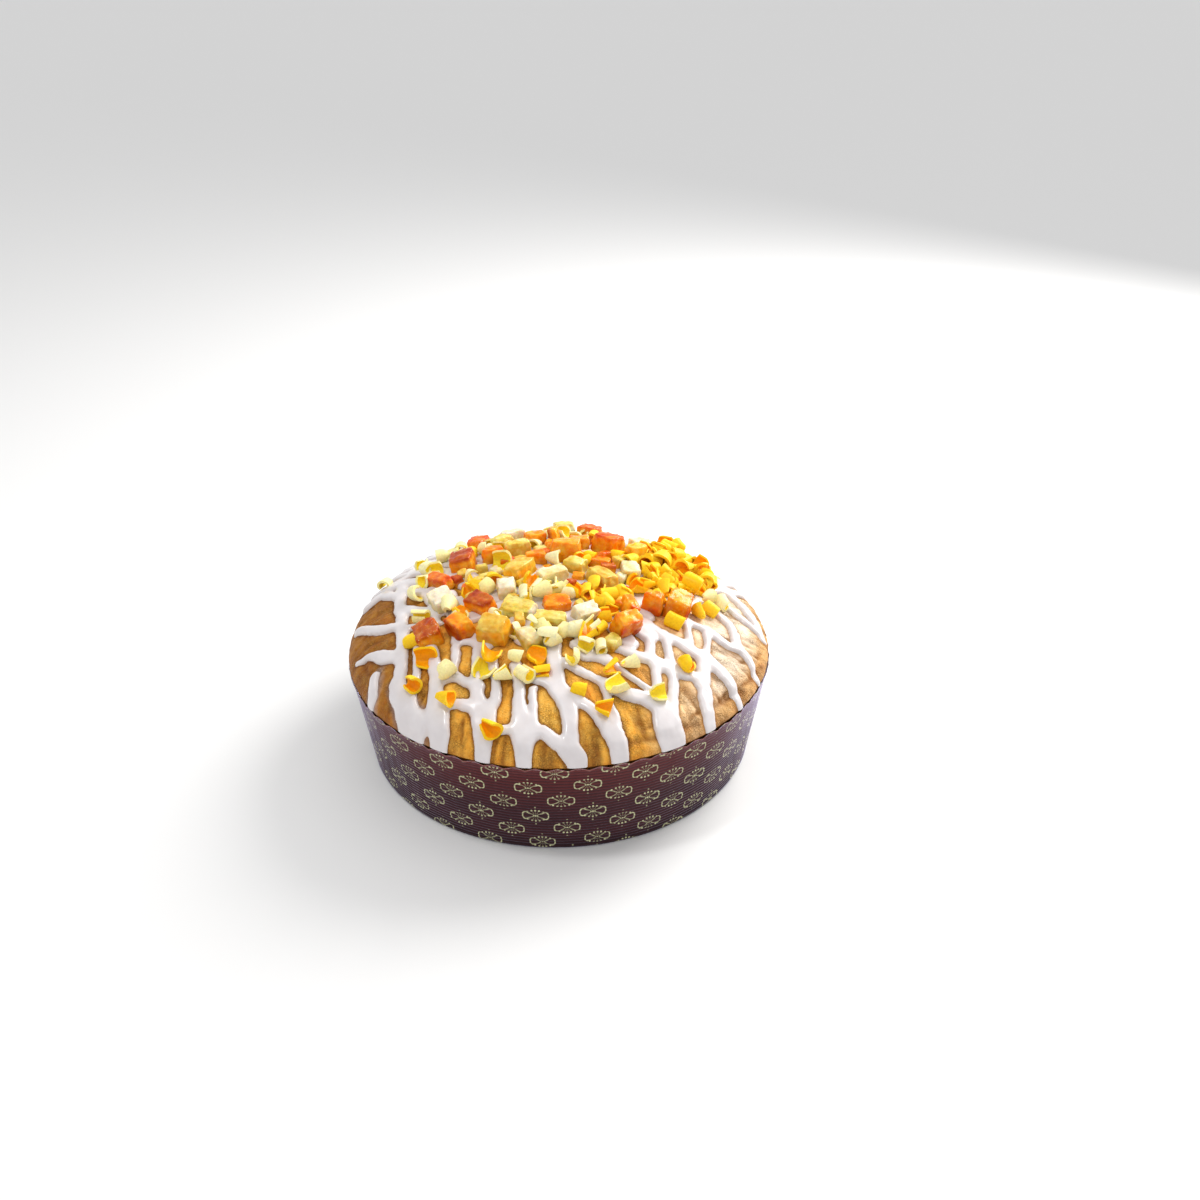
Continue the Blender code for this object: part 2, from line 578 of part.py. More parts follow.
def fruit_mesh(name, size, seed):
    """A diced piece of fruit: a box with softened corners and uneven, slanted faces."""
    mesh = bpy.data.meshes.new(name)
    work = bmesh.new()
    bmesh.ops.create_cube(work, size=1.0)
    bmesh.ops.subdivide_edges(work, edges=work.edges, cuts=1, use_grid_fill=True)
    draw = random.Random(seed)
    for vertex in work.verts:
        sides = sum(abs(value) > 0.25 for value in vertex.co)
        vertex.co *= FRUIT_ROUNDING[sides]
        vertex.co += Vector([draw.uniform(-FRUIT_UNEVEN, FRUIT_UNEVEN) for _ in range(3)])
    top = draw.uniform(*FRUIT_TOP)
    wedge = draw.uniform(*FRUIT_WEDGE)
    for vertex in work.verts:
        narrow = 1 - (1 - top) * (vertex.co.z + 0.5)
        thin = 1 - (1 - wedge) * (vertex.co.x + 0.5)
        vertex.co.x *= narrow * size[0] * MM
        vertex.co.y *= narrow * thin * size[1] * MM
        vertex.co.z *= size[2] * MM
    bmesh.ops.triangulate(work, faces=work.faces)
    work.to_mesh(mesh)
    work.free()
    return mesh


def bed_mesh(name, size):
    """The plain box that a piece of fruit needs clear round it."""
    mesh = bpy.data.meshes.new(name)
    work = bmesh.new()
    bmesh.ops.create_cube(work, size=1.0)
    for vertex in work.verts:
        for axis in range(3):
            vertex.co[axis] *= (size[axis] * FRUIT_BULGE + 2 * GAP) * MM
    work.to_mesh(mesh)
    work.free()
    return mesh


def place_fruit(name, mesh, spec, group, strokes, finish=None):
    """One piece of candied fruit, or its bed, let a little into the icing."""
    x, y, _, _, _, turn, lean = spec
    height = fruit_size(spec)[2]
    point, out, upright = surface_frame(x, y, strokes)
    pose = (Matrix.Rotation(math.radians(turn), 3, "Z")
            @ Matrix.Rotation(math.radians(lean), 3, "X"))
    rise = 0.5 * height - FRUIT_SINK
    for vertex in mesh.vertices:
        vertex.co = upright @ pose @ vertex.co + (point + out * rise) * MM
    return add_object(name, mesh, group, finish)


def cut_corner(face, first, second):
    """Cut a convex corner off a face, so that no diagonal joins these two vertices."""
    loops = {loop.vert: loop for loop in face.loops}
    corner = loops[first] if loops[first].is_convex else loops[second]
    bmesh.utils.face_split(face, corner.link_loop_prev.vert, corner.link_loop_next.vert)


def triangulate_closed(work):
    """Triangulate, after cutting faces that would otherwise share a diagonal."""
    for _ in range(FLAT_TRIES):
        trial = work.copy()
        bmesh.ops.triangulate(trial, faces=trial.faces)
        clashes = [[vertex.index for vertex in edge.verts]
                   for edge in trial.edges if len(edge.link_faces) > 2]
        trial.free()
        work.verts.ensure_lookup_table()
        for first, second in ([work.verts[i] for i in ends] for ends in clashes):
            for face in [face for face in first.link_faces if second in face.verts]:
                if len(face.verts) > 3 and not any(second in edge.verts and first in edge.verts
                                                   for edge in face.edges):
                    cut_corner(face, first, second)
        if not clashes:
            break
    bmesh.ops.triangulate(work, faces=work.faces)


def merge_flat_faces(mesh):
    """Join the nearly flat scraps of faces that a Boolean leaves."""
    for angle in FLAT_ANGLES:
        work = bmesh.new()
        work.from_mesh(mesh)
        bmesh.ops.dissolve_limit(
            work, angle_limit=math.radians(angle), verts=work.verts, edges=work.edges)
        work.verts.index_update()
        triangulate_closed(work)
        closed = all(edge.is_manifold for edge in work.edges)
        if closed:
            work.to_mesh(mesh)
        work.free()
        if closed:
            return


def drop_scraps(mesh):
    """Keep the largest closed body and drop the loose ones."""
    work = bmesh.new()
    work.from_mesh(mesh)
    unseen = set(work.verts)
    bodies = []
    while unseen:
        stack = [next(iter(unseen))]
        unseen.discard(stack[0])
        body = []
        while stack:
            vertex = stack.pop()
            body.append(vertex)
            for edge in vertex.link_edges:
                other = edge.other_vert(vertex)
                if other in unseen:
                    unseen.discard(other)
                    stack.append(other)
        bodies.append(body)
    bodies.sort(key=len, reverse=True)
    for body in bodies[1:]:
        bmesh.ops.delete(work, geom=body, context="VERTS")
    work.to_mesh(mesh)
    work.free()


def join_with(item, tools, operation, solver):
    """Apply one Boolean on a collection, then remove the collection's objects."""
    cut = item.modifiers.new("join", "BOOLEAN")
    cut.operation = operation
    cut.operand_type = "COLLECTION"
    cut.collection = tools
    cut.solver = solver
    replace_mesh(item, evaluated_mesh(item))
    merge_flat_faces(item.data)
    for tool in list(tools.objects):
        bpy.data.objects.remove(tool, do_unlink=True)


def main():
    """Build every sub-part."""
    tidy_scene()
    parts = collection("citrus_panettone")
    helpers = collection("helpers")
    curls = collection("curls")
    beds = collection("beds")
    paper = material("paper", (0.060, 0.034, 0.040), 0.75)
    crust = material("crust", (0.460, 0.200, 0.055), 0.7)
    orange = material("orange_peel", (0.640, 0.140, 0.015), 0.3)
    citron = material("citron", (0.690, 0.500, 0.120), 0.3)
    strokes = [smooth_run(stroke) for stroke in ICING_STROKES + ruled_strokes()]
    make_case(parts, helpers, paper)
    loaf = make_loaf(parts, helpers, crust, strokes)

    draw = random.Random(5)
    heap, stray = strewn_spots()
    for spot in YELLOW_CURLS + ORANGE_CURLS + stray:
        place_curl(spot, strokes, draw, curls)
    for spot in heap:
        place_curl(spot, strokes, draw, curls, lift=draw.choice(HEAP_LIFTS))
    join_with(loaf, curls, "UNION", "EXACT")

    seed = 100
    for kind, specs, finish in (("orange_peel", ORANGE_PEEL, orange), ("citron", CITRON, citron)):
        for number, spec in enumerate(specs, 1):
            name = f"{kind}_{number:02d}"
            seed += 1
            size = fruit_size(spec)
            place_fruit(name, fruit_mesh(name, size, seed), spec, parts, strokes, finish)
            place_fruit(name + "_bed", bed_mesh(name, size), spec, beds, strokes)
    join_with(loaf, beds, "DIFFERENCE", "EXACT")
    drop_scraps(loaf.data)
    for group in (helpers, curls, beds):
        bpy.data.collections.remove(group)


main()
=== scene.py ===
"""Looks of a low citrus panettone in its paper case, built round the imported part.

Plan sizes are in millimetres and become metres as each mesh is made. The dome, the
icing strokes, the curls and the fruit follow the same rules and seeds as the solids.
"""

import math
import random
from collections import namedtuple
from functools import partial
from itertools import cycle, repeat

import bmesh
import bpy
import numpy as np
from mathutils import Matrix, Vector, noise


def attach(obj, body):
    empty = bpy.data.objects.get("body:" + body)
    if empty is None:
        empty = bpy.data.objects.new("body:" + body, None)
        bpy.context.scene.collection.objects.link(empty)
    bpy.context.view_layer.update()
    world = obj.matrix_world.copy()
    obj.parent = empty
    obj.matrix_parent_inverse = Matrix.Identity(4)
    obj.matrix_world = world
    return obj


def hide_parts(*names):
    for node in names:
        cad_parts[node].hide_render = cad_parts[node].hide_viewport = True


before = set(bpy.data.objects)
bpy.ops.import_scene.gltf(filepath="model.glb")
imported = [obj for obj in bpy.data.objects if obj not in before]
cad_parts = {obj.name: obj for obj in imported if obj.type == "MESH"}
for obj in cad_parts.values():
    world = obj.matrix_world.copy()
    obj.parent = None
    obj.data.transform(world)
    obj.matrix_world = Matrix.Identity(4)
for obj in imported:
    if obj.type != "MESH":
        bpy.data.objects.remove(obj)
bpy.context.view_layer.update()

MM = 0.001
GAP = 0.35

# Paper case
RIM_RADIUS = 105.0
BASE_RADIUS = 98.0
CASE_HEIGHT = 49.5
PAPER = 0.8
RIM_WAVES = 71
RIM_WAVE_HEIGHT = 0.78
RIM_LIFT = 1.5
RIM_FLARE = 0.4
RIM_EDGE = 0.2
DENT_ANGLE = math.radians(187.0)
DENT_SPREAD = math.radians(2.2)
DENT_DEPTH = 1.8
CASE_STEPS = 4 * RIM_WAVES
RIDGE_PITCH = 1.78
RIDGE_HEIGHT = 0.17
RIDGE_ROWS = 6
RIDGE_START = 30
FOOT_INSETS = (8.0, 0.6)
# Depth and fade of the painted highlight along the rim's top edge
EDGE_HIGHLIGHT_DEPTH = 0.7
EDGE_HIGHLIGHT_FADE = 0.5

# Rows down the inside of the case: wall thickness and share of its height
INNER_ROWS = [(RIM_EDGE, 1.0), (RIM_EDGE, 0.97), (PAPER, 0.9), (PAPER, 0.5), (PAPER, 0.1)]

# Printed ornament: a slanted lattice that closes round the case
PRINT_RADIUS = 101.5
PRINT_ACROSS = 49
PRINT_DOWN = -22
PRINT_STEP = (2.5, -17.26)
PRINT_SHIFT = (463.28, 39.08)
PETAL_PLACE = 3.35
PETAL_REACH = 2.5
PETAL_SPAN = (0.6, 4.6)
PETAL_HEIGHTS = (0.35, 2.3)
PETAL_LINE = (0.06, 0.15)
RAY_STEP = math.radians(28.0)
RAY_LIMIT = 2.2 * RAY_STEP
RAY_LENGTH = 3.3
RAY_GROWTH = 1.1
STEM_EDGE = (0.05, 0.15)
STEM_START = 1.0
DOT_EDGE = (0.38, 0.54)
KNOT_EDGE = (0.35, 0.6)
LONE_PLACE = 5.3
LONE_EDGE = (0.25, 0.5)

# Colours of the paper and its print
PAPER_DARK = (0.044, 0.009, 0.012)
PAPER_CLOUD = (0.062, 0.013, 0.016)
PAPER_RED = (0.140, 0.020, 0.018)
# Painted shade at the foot of the case
PAINTED_FOOT_SHADE = (0.010, 0.004, 0.006)
# Painted shade in the grooves between the ribs
PAINTED_GROOVE_SHADE = (0.012, 0.004, 0.007)
# Painted highlight on the rim's top edge
PAINTED_PAPER_EDGE_HIGHLIGHT = (0.34, 0.14, 0.12)
PAPER_SHEEN = (0.76, 0.73, 1.0)
PRINT_INK = (0.62, 0.62, 0.36)

# Loaf
DOME_RADIUS = 105.2
DOME_FOOT = 52.0
DOME_RISE = 29.5
DOME_POWER = 1.8
DOME_LEAN = 0.045
EDGE_FADE = 5.0
EDGE_RELIEF = 0.35
DOME_CELLS = 300

# Crust relief: slow swells, fine wrinkles and a few folds (start, end, depth)
SWELL = (0.9, 0.035)
WRINKLE = (0.3, 0.16)
FOLD_WIDTH = 1.6
# Width of the painted shade along the folds
FOLD_SHADE_WIDTH = 1.3
FOLDS = [
    ((67, -74), (86, -56), 2.0),
    ((29, -97), (47, -91), 1.6),
    ((89, -50), (98, -34), 1.8),
    ((50, -88), (61, -82), 1.2),
    ((-97, -26), (-90, -44), 1.4),
    ((-24, -94), (-26, -103), 1.0),
    ((14, -88), (16, -103), 1.0),
    ((-70, 72), (-56, 84), 1.6),
    ((60, 76), (74, 66), 1.8),
]

# Small folds that only the looks have, bent by slow noise
FINE_FOLDS = [
    ((72, -68), (82, -52)), ((80, -60), (92, -44)), ((58, -82), (68, -70)),
    ((94, -36), (100, -20)), ((84, -42), (93, -31)), ((36, -92), (50, -84)),
    ((96, -12), (99, 4)), ((-92, -10), (-100, -20)), ((-66, -74), (-60, -66)),
    ((-6, -88), (-8, -103)), ((33, -80), (38, -98)), ((-44, -96), (-43, -82)),
    ((86, 34), (96, 22)), ((58, 70), (72, 74)), ((30, 84), (48, 86)),
    ((-20, 90), (0, 94)), ((-60, 68), (-48, 84)), ((-92, 36), (-96, 16)),
]
FINE_FOLD_DEPTH = 1.0
FINE_FOLD_WIDTH = 1.0

# Creases down the sides: depth, number round the loaf, length and noise seed
CREASES = [(1.15, 26, 16, 11.0), (0.5, 60, 9, 17.0)]

# Colours of the crust
GOLD = (0.90, 0.42, 0.050)
LIGHT_GOLD = (0.97, 0.54, 0.095)
# Painted light on the right side of the crust
PAINTED_LIGHT_PEACH = (0.97, 0.83, 0.66)
# Painted shade near the rim on the lit right side
PAINTED_RIGHT_RIM_SHADE = (0.66, 0.32, 0.050)
# Painted shade on the left side of the crust
PAINTED_LEFT_SHADE = (0.36, 0.130, 0.013)
# Line by the icing: partly damp crust and partly painted shade, then its tone in the painted light
ICING_EDGE_DAMP_AND_SHADE = (0.15, 0.040, 0.006)
LIT_ICING_EDGE_DAMP_AND_SHADE = (0.50, 0.21, 0.030)
# Painted shade where the crust meets the paper rim
PAINTED_RIM_SHADE = (0.30, 0.09, 0.02)
# Painted shade in the folds
PAINTED_FOLD_SHADE = (0.22, 0.075, 0.010)
# Painted shade in the creases and small pits
PAINTED_CREASE_SHADE = (0.44, 0.175, 0.022)
CRACK_BROWN = (0.30, 0.115, 0.018)
PORE_BROWN = (0.30, 0.13, 0.022)
LOWER_CRUST = (0.50, 0.19, 0.03)
MILKY = (0.66, 0.58, 0.56)

# Icing
ICING_HEIGHT = 1.9
ICING_FULL_WIDTH = 2.6
ICING_BEAD = 2.3
ICING_BLEND = 2.4
ICING_SPREAD = 0.25
UNDER_ICING = 0.3
FAR_OUTSIDE = -40.0
STROKE_MARGIN = 7.0
ICING_WHITE = (0.70, 0.655, 0.66)
ICING_CLOUD = (0.755, 0.715, 0.72)
ICING_THIN = (0.60, 0.46, 0.36)

# Waves of the icing's outline: noise scale, size and the seeds for x and y
ICING_WAVES = [(0.11, 0.7, 41.0, 43.0), (0.34, 0.45, 45.0, 49.0)]

# Runs of icing as x, y and half width
ICING_STROKES = [
    [(-98, 16, 2.4), (-90, 19, 3.0), (-84, 12, 2.6), (-79, 8, 2.6)],
    [(-80, 24, 2.6), (-79, 4, 2.8), (-77, -12, 2.6), (-75, -26, 2.8), (-73.5, -43, 2.9),
     (-73.5, -54, 2.8), (-74, -62, 3.0)],
    [(-100, -5, 2.0), (-92, -12, 2.4), (-85, -17, 3.0), (-77, -20, 2.2)],
    [(-97, -31, 1.2), (-88, -34, 2.2), (-82, -39, 3.6), (-75, -43, 2.6)],
    [(-86, -48, 2.2), (-87, -57, 2.6)],
    [(-76, -58, 2.2), (-72, -66, 4.0), (-68, -76, 4.5), (-63, -82, 4.0)],
    [(-66, -36, 2.2), (-66, -46, 1.9), (-66, -56, 1.8), (-67, -70, 2.2), (-63, -80, 3.0)],
    [(-62, -38, 2.6), (-58, -48, 2.7), (-57, -57, 2.8), (-56, -67, 3.0), (-55, -78, 5.0),
     (-53.5, -87, 4.4), (-53, -92, 2.8)],
    [(-56, -64, 2.0), (-49, -62, 2.2), (-42, -67, 2.2), (-37, -70, 2.6)],
    [(-48, -34, 2.2), (-48, -45, 2.0), (-48, -57, 1.9), (-50, -63, 2.0)],
    [(-48, -40, 1.7), (-39, -43, 1.8)],
    [(-50, -76, 2.0), (-43, -78, 2.4), (-36, -81, 3.0)],
    [(-38, -38, 2.6), (-37.5, -52, 2.4), (-38, -66, 2.2), (-36, -78, 3.4), (-34, -86, 5.4),
     (-34, -94, 4.2), (-34.5, -101, 3.0)],
    [(-31, -56, 2.6), (-29, -68, 1.8), (-29, -78, 2.6), (-33, -84, 3.0)],
    [(-29, -92, 1.5), (-21, -92, 1.6)],
    [(-20, -60, 3.0), (-18.5, -72, 2.6), (-18.5, -83, 3.0), (-16.5, -93, 5.4),
     (-16.5, -99, 4.2), (-16.6, -104, 3.2)],
    [(-16, -66, 3.4), (-10, -68, 2.6), (-3, -72, 3.0)],
    [(-12, -74, 1.8), (-12.4, -88, 2.0), (-14, -93, 3.0)],
    [(-14, -93, 3.0), (-8, -94.5, 2.6), (-3, -98.5, 2.8), (2, -101, 2.8)],
    [(-3.5, -40, 4.2), (-3, -54, 3.6), (-2, -64, 3.6), (-1, -74, 4.2), (3, -84, 3.8),
     (3.8, -93, 3.4), (4, -100, 3.8), (6.5, -104.5, 4.0)],
    [(-1, -75, 3.6), (6, -78, 2.6), (13, -84, 2.8), (19, -89, 4.4), (24, -97, 4.6),
     (25, -103, 3.6)],
    [(3, -58, 2.4), (10, -64, 2.0), (18, -68, 2.2), (28, -74, 3.4), (37, -76, 3.6),
     (44, -80, 5.0), (47.5, -88, 6.8), (48.5, -93, 5.4)],
    [(19.5, -70, 2.4), (20.5, -79, 2.0), (22.5, -88, 3.4)],
    [(6, -46, 2.0), (13, -53, 2.0), (20, -55, 3.0), (29, -62, 1.6), (39, -70, 1.4)],
    [(20, -46, 2.4), (28, -48, 2.4), (36, -51, 3.0), (46, -54, 3.4), (54, -57.5, 3.2),
     (61, -58, 3.2), (65.5, -64, 3.2), (65.5, -73, 2.9), (66.5, -81, 2.7)],
    [(44, -54, 2.6), (43.5, -65, 2.2), (44, -74, 2.6)],
    [(51.5, -57, 2.4), (51, -68, 2.2), (49.5, -79, 2.6)],
    [(38, -22, 2.0), (47, -31, 3.0), (55.5, -36, 3.0), (64, -42, 3.3), (71, -47, 3.5),
     (77, -54, 3.0), (80.5, -60, 2.2), (82.5, -65, 1.8)],
    [(42, -25, 2.2), (42, -38, 2.2), (42, -50, 2.4)],
    [(50, -35, 2.2), (50.5, -46, 2.2), (52, -55, 2.4)],
    [(61.5, -18, 2.0), (61.5, -28, 1.9), (61.5, -38, 2.0)],
    [(60, -17, 2.2), (66, -20, 2.2), (72, -22, 2.5), (80, -30, 2.7), (87, -31, 2.6),
     (91, -37, 1.9), (93.5, -46, 1.4)],
    [(71, -24, 1.8), (70, -36, 1.6), (67, -48, 2.8), (66, -58, 2.8)],
    [(70, 8, 2.4), (76, 1, 2.4), (80, -5, 2.4), (85, -13, 2.3), (86, -28, 2.4)],
    [(86, 28, 2.4), (91, 18, 2.4), (95.5, 9, 2.5), (99.5, -3, 2.2), (101.5, -13, 1.8)],
    [(82, 10, 2.0), (88, 2, 1.6), (95, -6, 1.6), (100, -9, 1.4)],
    [(-60, -20, 2.6), (-61, -8, 2.6), (-66, 2, 2.4), (-72, 12, 2.4)],
    [(-76, -22, 1.8), (-67, -24, 1.8), (-58, -24, 2.0)],
    [(-52, -26, 2.4), (-51, -14, 2.6), (-53, 0, 2.6)],
    [(-84, 40, 2.6), (-72, 34, 2.6), (-60, 28, 2.6), (-50, 12, 3.0)],
    [(-92, 30, 2.0), (-84, 27, 2.4), (-72, 22, 2.4), (-62, 16, 2.4)],
    [(-78, -5, 2.8), (-69, -10, 3.2), (-60, -13, 2.6), (-48, -16, 3.0)],
    [(-76, 12, 2.4), (-64, 6, 3.0), (-54, 18, 3.2), (-44, 16, 3.4)],
    [(-88, 44, 2.4), (-76, 48, 2.8), (-62, 44, 3.0), (-50, 36, 3.4)],
    [(-70, 58, 2.4), (-58, 55, 3.0), (-48, 46, 3.0), (-38, 40, 3.2)],
    [(40, -6, 3.0), (52, -3, 2.6), (62, -4, 2.6), (70, 6, 2.4)],
    [(28, -16, 3.4), (36, -14, 3.0), (44, -20, 2.6)],
]

# Icing under the toppings and down the far side, drawn by rule
POOL_STROKES = 19
POOL_REACH = 52.0
POOL_SHARES = (0.8, 1.08)
POOL_MIDDLE = 0.55
POOL_WIDTHS = (5.4, 5.0, 4.0)
POOL_START = (2, 8)
POOL_JITTER = 0.25
POOL_TWIST = 0.1
FAR_DRIPS = 17
FAR_LINKS = 22
FAR_SECTOR = (12, 156)
FAR_START = 42
FAR_REACHES = [92, 99, 104, 104]
FAR_WIDTHS = (2.4, 4.2)
FAR_PROFILE = [(0.0, 1.0), (0.4, 0.85), (0.75, 1.0), (1.0, 0.8)]
FAR_BEND = 0.07
FAR_JITTER = 0.22
LINK_WIDTH = 1.9
LINK_PLACES = (0.15, 0.8)
LINK_SHIFT = 0.16

# Thin milky film of icing at the lower left, as strokes of its own
SMEARS = [
    [(-84, -46, 3.0), (-86, -54, 4.5), (-88, -62, 4.0)],
    [(-76, -58, 4.0), (-72, -66, 5.5), (-68, -74, 6.5), (-62, -83, 6.0)],
]

# Candied fruit as x, y, length, width, height, turn and lean in degrees
FRUIT_SCALE = 1.09
FRUIT_SINK = 1.6
ORANGE_PEEL = [
    (-48, 27, 13, 11, 10, 25, 4), (-59, 9, 15, 7, 6, 57, 3), (-37, -19, 14, 9, 8, 20, 6),
    (-46, -35, 12, 10, 9, 0, 2), (-61, -35, 13, 11, 8, -15, 8), (-12, 56, 10, 10, 9, 15, 0),
    (-2, 57, 9, 4.5, 9, 80, 10), (4, 31, 15, 12, 11, 5, 5), (-11, 26, 10, 7, 7, -20, 0),
    (-33, 31, 11, 9, 8, -30, 6), (-1, -20, 12, 8, 6, 12, 8), (26, 44, 15, 12, 11, -10, 4),
    (40, 38, 8, 11, 9, 10, 0), (21, 25, 11, 8, 7, 20, 4), (11.5, 47, 9, 9, 8, 18, 6),
    (31, -36, 12, 9, 11, -8, 14), (33, -22, 12, 5, 9, 50, 10), (57.5, -12, 13, 12, 11, -5, 4),
    (45, -14, 6, 10, 10, -5, 0), (-42, 53, 12, 10, 8, 35, 0), (17, 70, 12, 9, 8, -25, 0),
]
CITRON = [
    (-19, 12, 16, 9, 8, 0, 4), (-21, 37.5, 12, 8, 8, -8, 0), (-29, 48, 10, 8, 8, 20, 5),
    (-24, 61, 12, 9, 9, 8, 0), (-56, -9, 14, 11, 8, 15, 3), (-25, -7, 11, 9, 7, -12, 0),
    (-3, 5, 14, 8, 7, 0, 0), (-19, -23, 17, 11, 6, 10, 8), (-30, -41, 14, 12, 10, 15, 8),
    (-4, -32, 14, 7, 6, -5, 0), (-14, -45, 12, 8, 7, -40, 0), (21, 4, 16, 10, 8, 25, 6),
    (36, 17, 12, 9, 7, -20, 0), (12.5, -27, 12, 9, 7, 5, 6), (8.5, 17, 10, 8, 7, 0, 0),
    (24, -46, 8, 6, 5, 30, 0), (44, 55, 12, 9, 8, 60, 0), (3, 73, 11, 9, 8, 10, 0),
]

# The peel side of each piece, then the colours of its peel and its flesh
TOP = (0, 0, 1)
FRONT = (0, -1, 0)
LEFT = (-1, 0, 0)
RIGHT = (1, 0, 0)
DEEP_ORANGE = (0.80, 0.235, 0.014)
RED_BROWN = (0.58, 0.155, 0.014)
BRIGHT_ORANGE = (0.92, 0.33, 0.014)
AMBER = (0.92, 0.42, 0.030)
PALE_AMBER = (0.95, 0.54, 0.060)
YELLOW = (0.80, 0.54, 0.115)
LEMON = (0.82, 0.65, 0.200)
CREAM = (0.86, 0.74, 0.44)
WHITE = (0.87, 0.78, 0.60)
ORANGE_TINTS = [
    (TOP, RED_BROWN, AMBER), (TOP, DEEP_ORANGE, AMBER), (TOP, RED_BROWN, AMBER),
    (FRONT, RED_BROWN, AMBER), (TOP, RED_BROWN, AMBER), (FRONT, DEEP_ORANGE, AMBER),
    (FRONT, RED_BROWN, PALE_AMBER), (FRONT, DEEP_ORANGE, AMBER), (TOP, BRIGHT_ORANGE, AMBER),
    (TOP, BRIGHT_ORANGE, AMBER), (TOP, BRIGHT_ORANGE, AMBER), (TOP, DEEP_ORANGE, AMBER),
    (LEFT, PALE_AMBER, PALE_AMBER), (TOP, BRIGHT_ORANGE, AMBER), (FRONT, DEEP_ORANGE, AMBER),
    (FRONT, DEEP_ORANGE, AMBER), (LEFT, DEEP_ORANGE, AMBER), (FRONT, DEEP_ORANGE, AMBER),
    (LEFT, BRIGHT_ORANGE, AMBER), (TOP, DEEP_ORANGE, AMBER), (TOP, DEEP_ORANGE, AMBER),
]
CITRON_TINTS = [
    (TOP, YELLOW, PALE_AMBER), (TOP, LEMON, YELLOW), (TOP, LEMON, YELLOW),
    (TOP, WHITE, CREAM), (TOP, WHITE, CREAM), (TOP, WHITE, CREAM),
    (TOP, CREAM, CREAM), (RIGHT, WHITE, LEMON), (TOP, YELLOW, PALE_AMBER),
    (TOP, LEMON, YELLOW), (TOP, CREAM, LEMON), (RIGHT, WHITE, YELLOW),
    (TOP, CREAM, LEMON), (TOP, WHITE, WHITE), (TOP, LEMON, YELLOW),
    (TOP, LEMON, YELLOW), (TOP, CREAM, YELLOW), (TOP, LEMON, CREAM),
]

# Small bits of fruit between the cubes
BIT_TINTS = {
    "orange_peel": [(TOP, DEEP_ORANGE, AMBER), (TOP, AMBER, PALE_AMBER), (TOP, RED_BROWN, AMBER)],
    "citron": [(TOP, LEMON, YELLOW), (TOP, CREAM, LEMON), (TOP, YELLOW, PALE_AMBER)],
}
BITS = 44
BIT_TRIES = 5000
BIT_SIZES = (4.6, 7.4)
BIT_CENTRE = (-6, 14)
BIT_REACH = (46, 50)
BIT_SPANS = ((0.9, 1.3), (0.7, 1.0), (0.7, 1.0))
BIT_LEAN = 18
BIT_ORANGE = 0.4
BIT_ROOM = 5.0
BIT_TAPER = 0.85

# Surface of the fruit
FRUIT_ROUND = 0.8
PEEL_DEPTH = 1.3
SUGAR = (0.92, 0.86, 0.78)
VEIN_LIFT = (1.05, 1.6, 2.4)
SUGARED = {f"orange_peel_{number:02d}" for number in (5, 2, 11, 14, 16, 8, 18, 15)}
FANNED = "citron_08"

# Curls: wall, sink, sizes, and how they roll and tilt in degrees
CURL_WALL = 1.25
CURL_SINK = 0.7
CURL_SIZES = (0.92, 1.16)
CURL_ROLL = 70
CURL_TIPPED = 0.3
CURL_TILT = 12
CURL_SLANT = 0.12
RIM_SHADE = 0.12

# Kinds of curl: arc in degrees, shares of length or radius, and grid cells
CurlKind = namedtuple("CurlKind", "length narrow wide arc horn spiral pinch lip cells")
CURL_KINDS = {
    "tube": CurlKind(7.0, 2.3, 2.6, 315.0, -0.05, 0.20, 0.0, 0.12, (7, 24)),
    "scoop": CurlKind(6.5, 2.9, 3.2, 263.25, -0.30, 0.08, 0.5, 0.16, (8, 16)),
    "cone": CurlKind(7.0, 1.4, 3.6, 270.25, -0.20, 0.16, 0.25, 0.22, (7, 20)),
    "flake": CurlKind(7.5, 3.6, 4.4, 192.0, -0.36, 0.04, 0.3, 0.08, (8, 12)),
}

# Placed curls as x, y, turn in degrees and kind
YELLOW_CURLS = [
    (-66, -20, 60, "tube"), (-51, -62, 80, "scoop"), (-34, -64, 80, "flake"),
    (-26, -67, 40, "cone"), (-20, -57, 10, "scoop"), (-16, -68, -35, "tube"),
    (-6, -47, 0, "flake"), (5.5, -59, 85, "scoop"), (11, -51, -40, "scoop"),
    (19, -50, 70, "tube"), (24, -73, 10, "flake"), (31, -58, 0, "cone"),
    (43, -75, -10, "flake"), (15, -36, 30, "tube"), (5, -39, 0, "scoop"),
    (-9, -13, 60, "cone"), (-1, -8, 20, "tube"), (-43, 10, 30, "cone"),
    (-30, 21, 90, "flake"), (-50, 45, 40, "scoop"), (-66, 27, 80, "scoop"),
    (-70, 38, 10, "cone"), (-60, 40, -30, "scoop"), (-89, 31, 10, "tube"),
    (-70, 2, 45, "scoop"), (-66, 15, -20, "cone"), (82, 3, 20, "scoop"),
    (73, 3, -50, "cone"), (9, 58, 0, "scoop"), (-35, 42, 60, "tube"),
]
